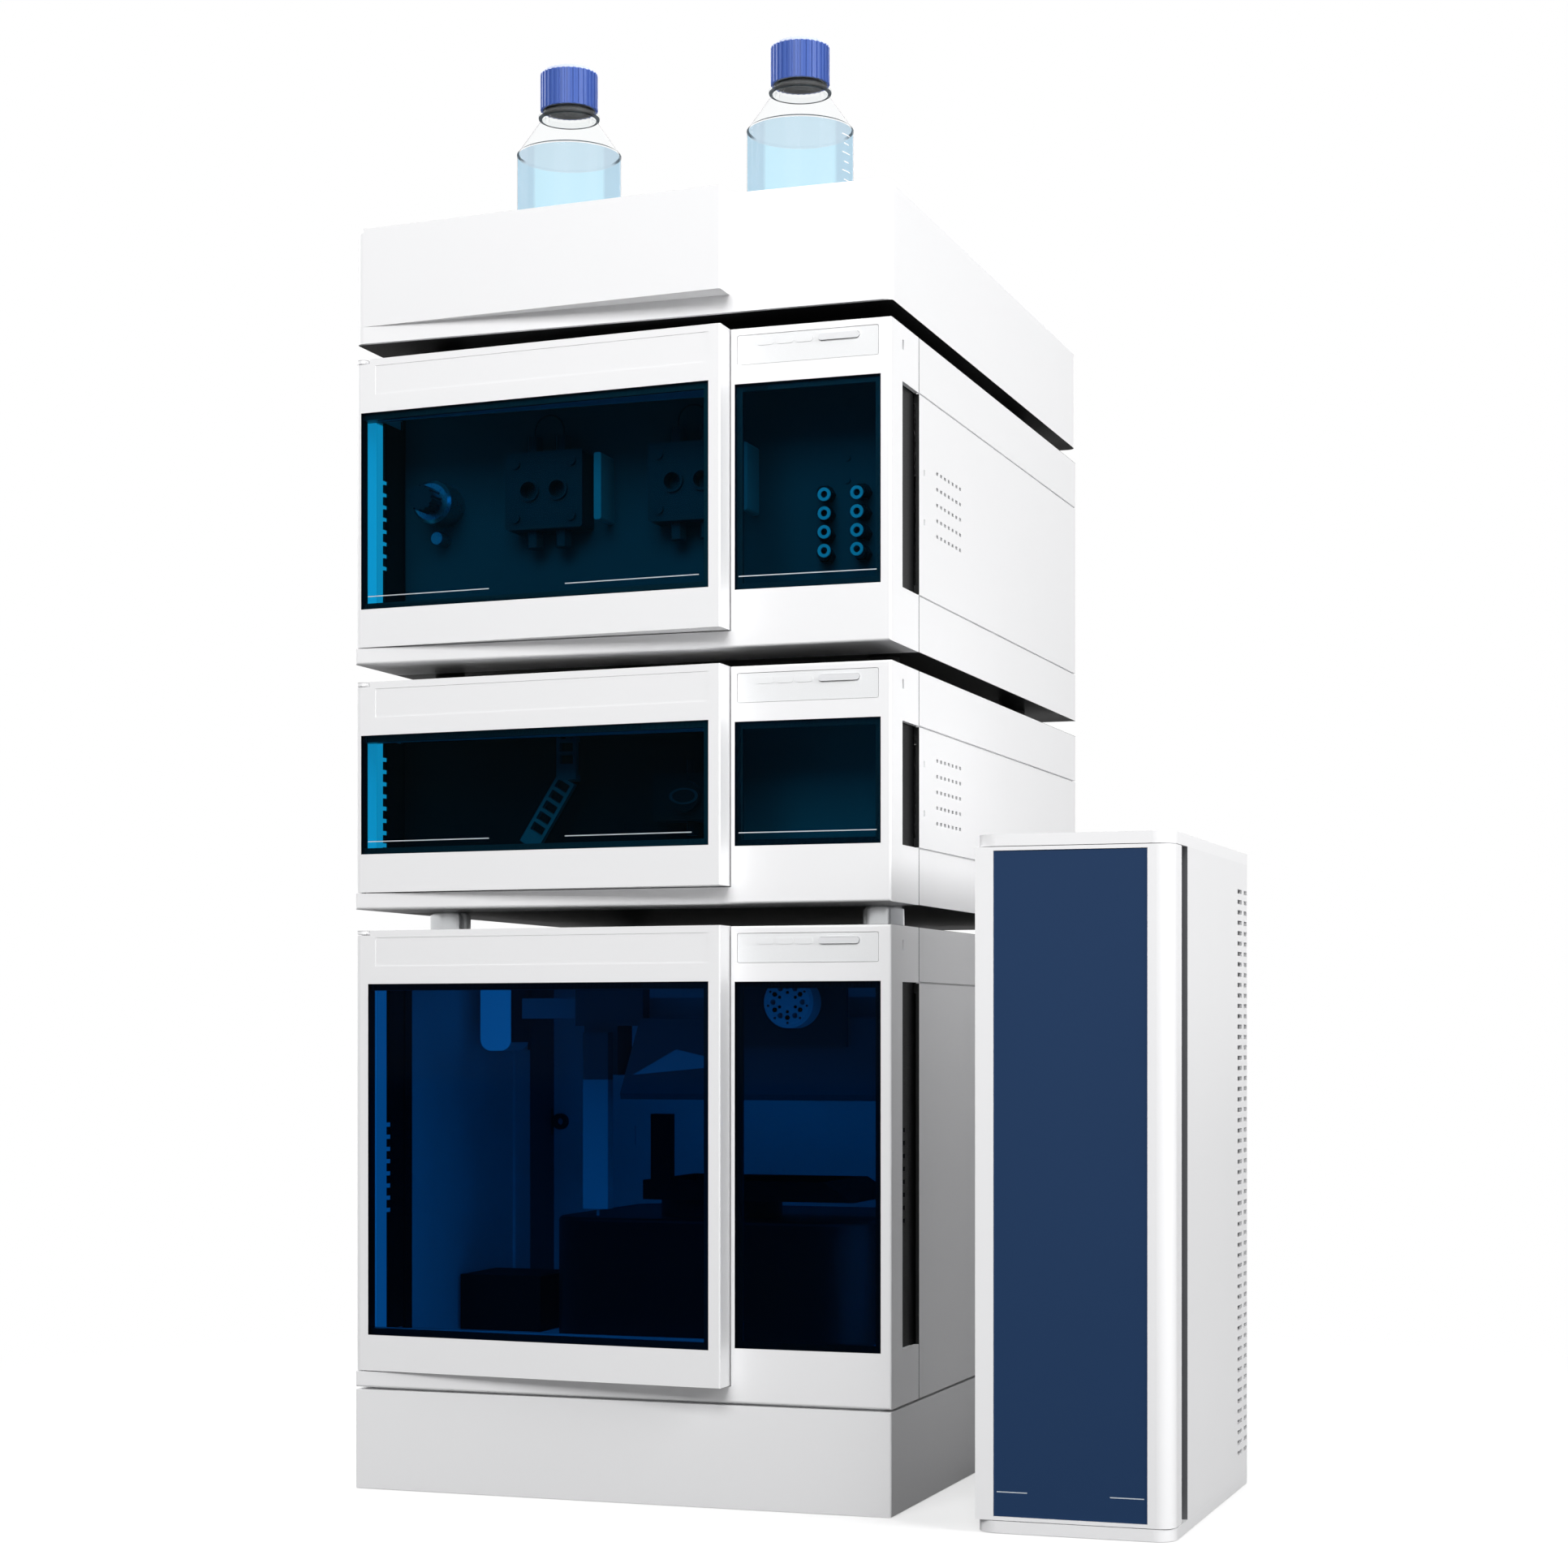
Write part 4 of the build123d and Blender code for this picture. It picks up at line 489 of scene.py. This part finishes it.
def smooth(obj, angle):
    """Shades smooth where faces meet at less than the angle, in degrees."""
    for polygon in obj.data.polygons:
        polygon.use_smooth = True
    obj.data.set_sharp_from_angle(angle=math.radians(angle))
    return obj


def turns(count):
    """Angles of evenly spaced points on a circle."""
    return [2 * math.pi * i / count for i in range(count)]


def front_rings(bm, x, z, count, outline):
    """Rings of points about a level axis from front to back, one for each (radius, y) of the outline."""
    return [[bm.verts.new((x + r * math.cos(t), y, z + r * math.sin(t))) for t in turns(count)]
            for r, y in outline]


def bridge(bm, rings):
    """Faces between each ring and the next one."""
    for low, high in zip(rings, rings[1:]):
        for i in range(len(low)):
            j = (i + 1) % len(low)
            bm.faces.new((low[i], low[j], high[j], high[i]))


def plate(bm, corners, thickness, outward):
    """Thin slab on a face: its four corners, raised outward by the thickness."""
    under = [bm.verts.new(c) for c in corners]
    over = [bm.verts.new(Vector(c) + outward * thickness) for c in corners]
    bm.faces.new(over)
    bm.faces.new(under[::-1])
    bridge(bm, (under, over))


def prism(bm, x, z, y, radius, length, sides, bevel):
    """Nut or port that stands out of an upright face at y towards the front."""
    outline = ((radius, y), (radius, y - length + bevel), (radius - bevel, y - length))
    rings = front_rings(bm, x, z, sides, outline)
    bridge(bm, rings)
    bm.faces.new(rings[-1])
    bm.faces.new(rings[0][::-1])


def washer(bm, x, z, y, inner, outer, length):
    """Flat ring that stands out of an upright face at y towards the front."""
    outline = ((inner, y), (outer, y), (outer, y - length), (inner, y - length))
    rings = front_rings(bm, x, z, WASHER_SEGMENTS, outline)
    bridge(bm, rings + rings[:1])


# ---- printed lines near the foot of the windows ----
LINE_HEIGHT = 0.6 * MM
LINE_RELIEF = 0.04 * MM
PANE_LINE_LIFT = 7.5 * MM
OVEN_LINE_LIFT = 14 * MM
line_ink = surface("pale_ink", srgb(196, 204, 212), 0.45, shade=0.05, grain=3000, height=0.000002)


def front_plane(node):
    """A point on the node's front face and the face's outward direction."""
    faces = [p for p in nodes_by_name[node].data.polygons if p.normal.y < -0.95]
    face = max(faces, key=lambda p: p.area)
    return face.center.copy(), face.normal.copy()


def printed_line(name, node, body, lengths, lift, foot=None):
    """Thin printed line on a pane, in one or more lengths, as shares of the pane's width.
    It lies above the foot, which is the pane's own lower edge unless a height is given."""
    low, high = span(node)
    point, outward = front_plane(node)
    z = (low.z if foot is None else foot) + lift
    bm = bmesh.new()
    for length in lengths:
        left, right = [low.x + (high.x - low.x) * share for share in length]
        corners = [(x, point.y - (x - point.x) * outward.x / outward.y, z + rise)
                   for x, rise in ((left, 0), (right, 0), (right, LINE_HEIGHT), (left, LINE_HEIGHT))]
        plate(bm, corners, LINE_RELIEF, outward)
    piece(name, bm, line_ink, body)


printed_line("pump_door_line", "pump_door_window", "pump_door",
             ((0.02, 0.38), (0.60, 0.975)), PANE_LINE_LIFT)
printed_line("detector_door_line", "detector_door_window", "detector_door",
             ((0.02, 0.38), (0.60, 0.955)), PANE_LINE_LIFT)
for module in ("pump", "detector"):
    printed_line(f"{module}_right_line", "right_windows", "root",
                 ((0.025, 0.975),), PANE_LINE_LIFT, span(f"{module}_door_window")[0].z)
printed_line("oven_panel_line", "oven_door_panel", "oven_door",
             ((0.02, 0.22), (0.76, 0.98)), OVEN_LINE_LIFT)

# ---- small parts behind the panes ----
# painted highlight on the autosampler's gantry: a flat pale plate where its slanted face catches the light;
# across from the stack's left side, and height, in mm
GANTRY_FRONT = -128 * MM
STACK_LEFT = -180.5 * MM
FACET_THICKNESS = 0.4 * MM
FACET = ((147.6, 265.4), (213.0, 271.5), (213.0, 274.5), (178.5, 282.3))
facet_highlight = surface("facet_highlight", srgb(190, 192, 194), 0.5, shade=0.05, **MATT_PAINT)
bm = bmesh.new()
plate(bm, [(STACK_LEFT + across * MM, GANTRY_FRONT, z * MM) for across, z in FACET], FACET_THICKNESS,
      Vector((0, -1, 0)))
piece("gantry_facet_highlight", bm, facet_highlight, "root")

# fittings on the injection valve: count, distance from its axis and radius of each ring of them
FITTING_RINGS = ((6, 6.2 * MM, 1.1 * MM), (6, 10.0 * MM, 1.7 * MM), (9, 13.4 * MM, 0.8 * MM))
FITTING_START = math.radians(30)
port_black = surface("port_black", srgb(14, 15, 17), 0.5, shade=0.2, **TURNED, specular=0.3)
valve_low, valve_high = span("injection_valve")
valve_middle = (valve_low + valve_high) / 2
bm = bmesh.new()
for count, reach, radius in FITTING_RINGS:
    for turn in turns(count):
        across, up = reach * math.cos(FITTING_START + turn), reach * math.sin(FITTING_START + turn)
        prism(bm, valve_middle.x + across, valve_middle.z + up, valve_low.y, radius,
              length=0.8 * MM, sides=6, bevel=0.2 * MM)
piece("injection_fittings", bm, port_black, "root")

# nuts of the degasser: two columns of four
NUT_ROWS = 4
NUT_INSET_X, NUT_INSET_Z = 6.5 * MM, 6.2 * MM
nut_grey = surface("nut_grey", srgb(214, 217, 219), 0.4, shade=0.05, **TURNED, specular=0.4)
ports_low, ports_high = span("degasser_ports")
row_pitch = (ports_high.z - ports_low.z - 2 * NUT_INSET_Z) / (NUT_ROWS - 1)
bm = bmesh.new()
for x in (ports_low.x + NUT_INSET_X, ports_high.x - NUT_INSET_X):
    for row in range(NUT_ROWS):
        washer(bm, x, ports_low.z + NUT_INSET_Z + row * row_pitch, ports_low.y,
               inner=2.2 * MM, outer=4.2 * MM, length=1.2 * MM)
piece("degasser_nuts", bm, nut_grey, "root")

# oval lens of the optics behind the detector's pane
LENS_STRETCH = (1.5, 1, 0.8)
lens_grey = surface("lens_grey", srgb(60, 63, 66), 0.4, shade=0.05, **TURNED, specular=0.2)
cell_low, cell_high = span("flow_cell")
cell_middle = (cell_low + cell_high) / 2
lens_place = Vector((cell_middle.x, cell_low.y, cell_middle.z))
bm = bmesh.new()
washer(bm, 0, 0, 0, inner=5.2 * MM, outer=6.4 * MM, length=0.6 * MM)
for vert in bm.verts:
    vert.co = vert.co * Vector(LENS_STRETCH) + lens_place
piece("cell_lens_rim", bm, lens_grey, "root")

# ---- bottles ----
GLASS_SEGMENTS = 128
FOOT_Z = 745 * MM
SHOULDER_Z, COLLAR_Z, RIM_Z = FOOT_Z + 152 * MM, FOOT_Z + 175 * MM, FOOT_Z + 205.5 * MM
BODY_R, FOOT_R, COLLAR_R, NECK_R, BORE_R = 35.75 * MM, 7 * MM, 19.5 * MM, 16.4 * MM, 13.9 * MM


def lathe(bm, x, y, outline, mats=None):
    """Turns an outline of (radius, height) points about the upright axis through x and y. Mats
    gives the number of the material of each band, from the outline's start."""
    rings = []
    for radius, z in outline:
        if radius == 0:
            rings.append([bm.verts.new((x, y, z))])
        else:
            rings.append([bm.verts.new((x + radius * math.cos(t), y + radius * math.sin(t), z))
                          for t in turns(GLASS_SEGMENTS)])
    for band, (low, high) in enumerate(zip(rings, rings[1:])):
        for i in range(GLASS_SEGMENTS):
            j = (i + 1) % GLASS_SEGMENTS
            corners = [low[i % len(low)], low[j % len(low)], high[j % len(high)], high[i % len(high)]]
            face = bm.faces.new(list(dict.fromkeys(corners)))
            if mats:
                face.material_index = mats[band]


def bend(start, corner, end, steps):
    """Points of a smooth bend from start to end that leans to the corner."""
    shares = [i / steps for i in range(steps + 1)]
    return [tuple((1 - t) ** 2 * a + 2 * t * (1 - t) * b + t * t * c for a, b, c in zip(start, corner, end))
            for t in shares]


def bottle_outline():
    """Outer profile from the middle of the foot to the rim, then the bore down to the collar."""
    foot = bend((BODY_R - FOOT_R, FOOT_Z), (BODY_R, FOOT_Z), (BODY_R, FOOT_Z + FOOT_R), 8)
    shoulder = bend((BODY_R, SHOULDER_Z - 1.2 * MM), (BODY_R, SHOULDER_Z),
                    (BODY_R - 1.2 * MM, SHOULDER_Z + 1.4 * MM), 5)
    collar = bend((COLLAR_R + 1.0 * MM, COLLAR_Z - 1.4 * MM), (COLLAR_R, COLLAR_Z),
                  (NECK_R, COLLAR_Z + 0.2 * MM), 5)
    rim = bend((NECK_R, RIM_Z - 1.0 * MM), (NECK_R, RIM_Z), (NECK_R - 1.0 * MM, RIM_Z), 4)
    return [(0, FOOT_Z + 3 * MM), (BODY_R - FOOT_R - 4 * MM, FOOT_Z + 2 * MM), *foot, *shoulder,
            *collar, *rim, (BORE_R, RIM_Z - 0.6 * MM), (BORE_R, COLLAR_Z)]


def neck_thread(bm, x, y):
    """Rounded screw thread round the neck, tapering out at both ends."""
    thread_turns, pitch, low = 2.2, 4 * MM, COLLAR_Z + 12.5 * MM
    half_width, reach, steps, sides = 1.1 * MM, 0.9 * MM, 48, 6
    fade_length = steps * 0.2
    count = int(thread_turns * steps)
    rows = []
    for i in range(count + 1):
        angle = 2 * math.pi * i / steps
        fade = min(1.0, i / fade_length, (count - i) / fade_length)
        z = low + pitch * i / steps
        row = []
        for side in range(sides + 1):
            lift = math.pi * side / sides
            radius = NECK_R - 0.1 * MM + reach * fade * math.sin(lift)
            row.append(bm.verts.new((x + radius * math.cos(angle), y + radius * math.sin(angle),
                                     z - half_width * math.cos(lift))))
        rows.append(row)
    for a, b in zip(rows, rows[1:]):
        for i in range(sides):
            bm.faces.new((a[i], a[i + 1], b[i + 1], b[i]))


bm = bmesh.new()
for side, x, y in BOTTLES:
    lathe(bm, x, y, bottle_outline())
    neck_thread(bm, x, y)
bottles = smooth(piece("clear_bottles", bm, clear_glass, "root"), 60)
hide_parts("bottles")

# painted dark line where the body turns into the cone, standing in for how the glass bends light there
bm = bmesh.new()
for side, x, y in BOTTLES:
    lathe(bm, x, y, [(BODY_R + 0.1 * MM, SHOULDER_Z - 0.2 * MM),
                     (BODY_R - 1.3 * MM, SHOULDER_Z + 1.0 * MM)])
piece("shoulder_painted_lines", bm, shoulder_painted_line, "root")

# plain graduation marks on the right bottle, short and long in turn
MARK_COUNT = 17
MARK_PITCH = 6 * MM
MARK_TOP = SHOULDER_Z - 8 * MM
MARK_MIDDLE = -12
MARK_REACHES = (8, 5)
MARK_HALF_WIDTH = 0.35 * MM
MARK_RELIEF = 0.08 * MM
MARK_STEPS = 8
mark_ink = surface("graduation_ink", srgb(246, 248, 249), 0.5, shade=0.03, grain=3000, height=0.000002)
side, x, y = BOTTLES[1]
section = ((BODY_R, -MARK_HALF_WIDTH), (BODY_R + MARK_RELIEF, -MARK_HALF_WIDTH),
           (BODY_R + MARK_RELIEF, MARK_HALF_WIDTH), (BODY_R, MARK_HALF_WIDTH))
bm = bmesh.new()
for mark in range(MARK_COUNT):
    z = MARK_TOP - mark * MARK_PITCH
    reach = MARK_REACHES[mark % 2]
    angles = [math.radians(MARK_MIDDLE + reach * (2 * i / MARK_STEPS - 1)) for i in range(MARK_STEPS + 1)]
    rows = [[bm.verts.new((x + r * math.cos(t), y + r * math.sin(t), z + rise)) for t in angles]
            for r, rise in section]
    for a, b in zip(rows, rows[1:] + rows[:1]):
        for i in range(MARK_STEPS):
            bm.faces.new((a[i], a[i + 1], b[i + 1], b[i]))
    for end in (0, MARK_STEPS):
        bm.faces.new([row[end] for row in rows])
piece("graduation_marks", bm, mark_ink, "root")

# solvent that fills each bottle to just below its shoulder
LIQUID_R = BODY_R - 0.4 * MM
LIQUID_FOOT_Z = FOOT_Z + 2.2 * MM
LIQUID_TOP_Z = SHOULDER_Z - 0.8 * MM
foot = bend((LIQUID_R - FOOT_R, LIQUID_FOOT_Z), (LIQUID_R, LIQUID_FOOT_Z), (LIQUID_R, FOOT_Z + FOOT_R), 6)
outline = [(0, FOOT_Z + 3.6 * MM), *foot, (LIQUID_R, LIQUID_TOP_Z), (LIQUID_R * 0.9, LIQUID_TOP_Z),
           (0, LIQUID_TOP_Z)]
bm = bmesh.new()
for side, x, y in BOTTLES:
    lathe(bm, x, y, outline, mats=[0] * (len(outline) - 3) + [1, 1])
liquid = smooth(piece("liquid", bm, liquid_side, "root"), 40)
liquid.data.materials.append(liquid_top)
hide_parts("solvents")

# pouring rings: clear, with a painted dark line at their lower edge, standing in for how the glass bends
# light there
RING_R = 21 * MM
RING_BORE = NECK_R + 0.2 * MM
RING_LOW, RING_HIGH = COLLAR_Z + 1.6 * MM, COLLAR_Z + 5.1 * MM
outline = [(RING_BORE, RING_LOW), (RING_R - 2.4 * MM, RING_LOW), (RING_R - 0.2 * MM, RING_LOW + 0.3 * MM),
           (RING_R, RING_LOW + 1.1 * MM), (RING_R, RING_HIGH - 1.0 * MM), (RING_R - 0.8 * MM, RING_HIGH),
           (RING_BORE, RING_HIGH)]
bm = bmesh.new()
for side, x, y in BOTTLES:
    lathe(bm, x, y, outline, mats=[0, 1, 1, 0, 0, 0])
rings = smooth(piece("clear_rings", bm, ring_clear, "root"), 60)
rings.data.materials.append(painted_dark_line)
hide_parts("pouring_rings")

# ---- floor: the camera sees it white, with the object's shadow on it near the object ----
FLOOR_SIZE = 30
FLOOR_DROP = 0.5 * MM
FLOOR_BOUNCE = (0.2, 0.2, 0.2)
FLOOR_SEEN = (0.95, 0.95, 0.95)
SHADOW_MIDDLE = (0.06, -0.02, 0.0)
SHADOW_NEAR, SHADOW_FAR = 0.35, 0.95
WHITE_NEAR = 0.5
bpy.ops.mesh.primitive_plane_add(size=FLOOR_SIZE, location=(0, 0, cad_box[0][2] - FLOOR_DROP))
floor = bpy.context.object
floor.name = "floor"
mat, tree, shader = blank("floor_white")
fill(tree, shader, {"Base Color": FLOOR_BOUNCE, "Roughness": 0.9, "Specular IOR Level": 0.1})
place = add(tree, "TexCoord").outputs["Object"]
fade = add(tree, "MapRange", {"Value": vector_maths(tree, "DISTANCE", place, SHADOW_MIDDLE),
                              "From Min": SHADOW_NEAR, "From Max": SHADOW_FAR, "To Min": WHITE_NEAR},
           interpolation_type="SMOOTHSTEP")
shaded = add(tree, "BsdfDiffuse", {"Color": FLOOR_SEEN}).outputs[0]
white = add(tree, "Emission", {"Color": (1, 1, 1)}).outputs[0]
seen = shader_mix(tree, fade.outputs["Result"], shaded, white)
show(tree, shader_mix(tree, add(tree, "LightPath").outputs["Is Camera Ray"], shader.outputs[0], seen))
floor.data.materials.append(mat)

# ---- white background and a low ambient light ----
AMBIENT_COLOUR = (0.93, 0.95, 1.0)
AMBIENT_STRENGTH = 0.05
world = bpy.data.worlds.new("studio")
bpy.context.scene.world = world
world.use_nodes = True
tree = world.node_tree
tree.nodes.clear()
path = add(tree, "LightPath").outputs
seen = maths(tree, "MAXIMUM", path["Is Camera Ray"], path["Is Transmission Ray"])
seen = maths(tree, "MAXIMUM", seen, path["Is Glossy Ray"])
ambient = add(tree, "Background", {"Color": AMBIENT_COLOUR, "Strength": AMBIENT_STRENGTH}).outputs[0]
backdrop = add(tree, "Background", {"Color": (1, 1, 1), "Strength": 1.0}).outputs[0]
add(tree, "OutputWorld", {"Surface": shader_mix(tree, seen, ambient, backdrop)})


# ---- lamps ----
def softbox(name, place, aim, size, power, hidden=False, spread_angle=180):
    """Area lamp at place that points at aim. A hidden one is seen by no camera and in no gloss."""
    lamp = bpy.data.lights.new(name, "AREA")
    lamp.shape = "RECTANGLE"
    lamp.size, lamp.size_y = size
    lamp.energy = power
    lamp.spread = math.radians(spread_angle)
    obj = bpy.data.objects.new(name, lamp)
    obj.location = place
    obj.rotation_euler = (Vector(aim) - Vector(place)).to_track_quat("-Z", "Y").to_euler()
    if hidden:
        obj.visible_camera = False
        obj.visible_glossy = False
        obj.visible_transmission = False
    bpy.context.collection.objects.link(obj)


def bay_light(module, x_range, y, radiance):
    """Hidden lamp just behind a module's panes that lights its bay evenly, towards the back."""
    low, high = span(f"{module}_door_window")
    width, height = x_range[1] - x_range[0], high.z - low.z
    place = Vector((sum(x_range) / 2, y, (low.z + high.z) / 2))
    softbox(f"{module}_bay_light", place, place + Vector((0, 1, 0)), (width, height),
            radiance * math.pi * width * height, hidden=True)


softbox("key", (0.25, -2.9, 2.3), (0, 0, 0.7), (2.0, 1.6), 92)
softbox("side", (2.7, -0.7, 1.6), (0.2, 0, 0.7), (1.6, 1.6), 69)
softbox("top", (0, 0.3, 2.8), (0, 0, 0), (2, 2), 14)
softbox("left", (-2.7, 0.3, 2.0), (-0.2, 0, 0.6), (1.8, 1.6), 60)
softbox("back", (-0.6, 2.9, 2.1), (0, 0.2, 0.6), (2.0, 1.6), 66)
bay_light("sampler", (-0.17, 0.17), -0.176, 0.75)
bay_light("pump", (-0.17, 0.17), -0.2315, 0.17)
bay_light("detector", (0.12, 0.17), -0.2315, 0.4)
softbox("under_gantry", (0.05, -0.045, 0.247), (0.05, 0.06, 0.19), (0.24, 0.02), 0.055, hidden=True)
softbox("compartment_side", (0.171, -0.15, 0.135), (0.122, -0.118, 0.135), (0.02, 0.09), 0.12,
        hidden=True, spread_angle=60)

bpy.context.scene.view_settings.view_transform = "Standard"
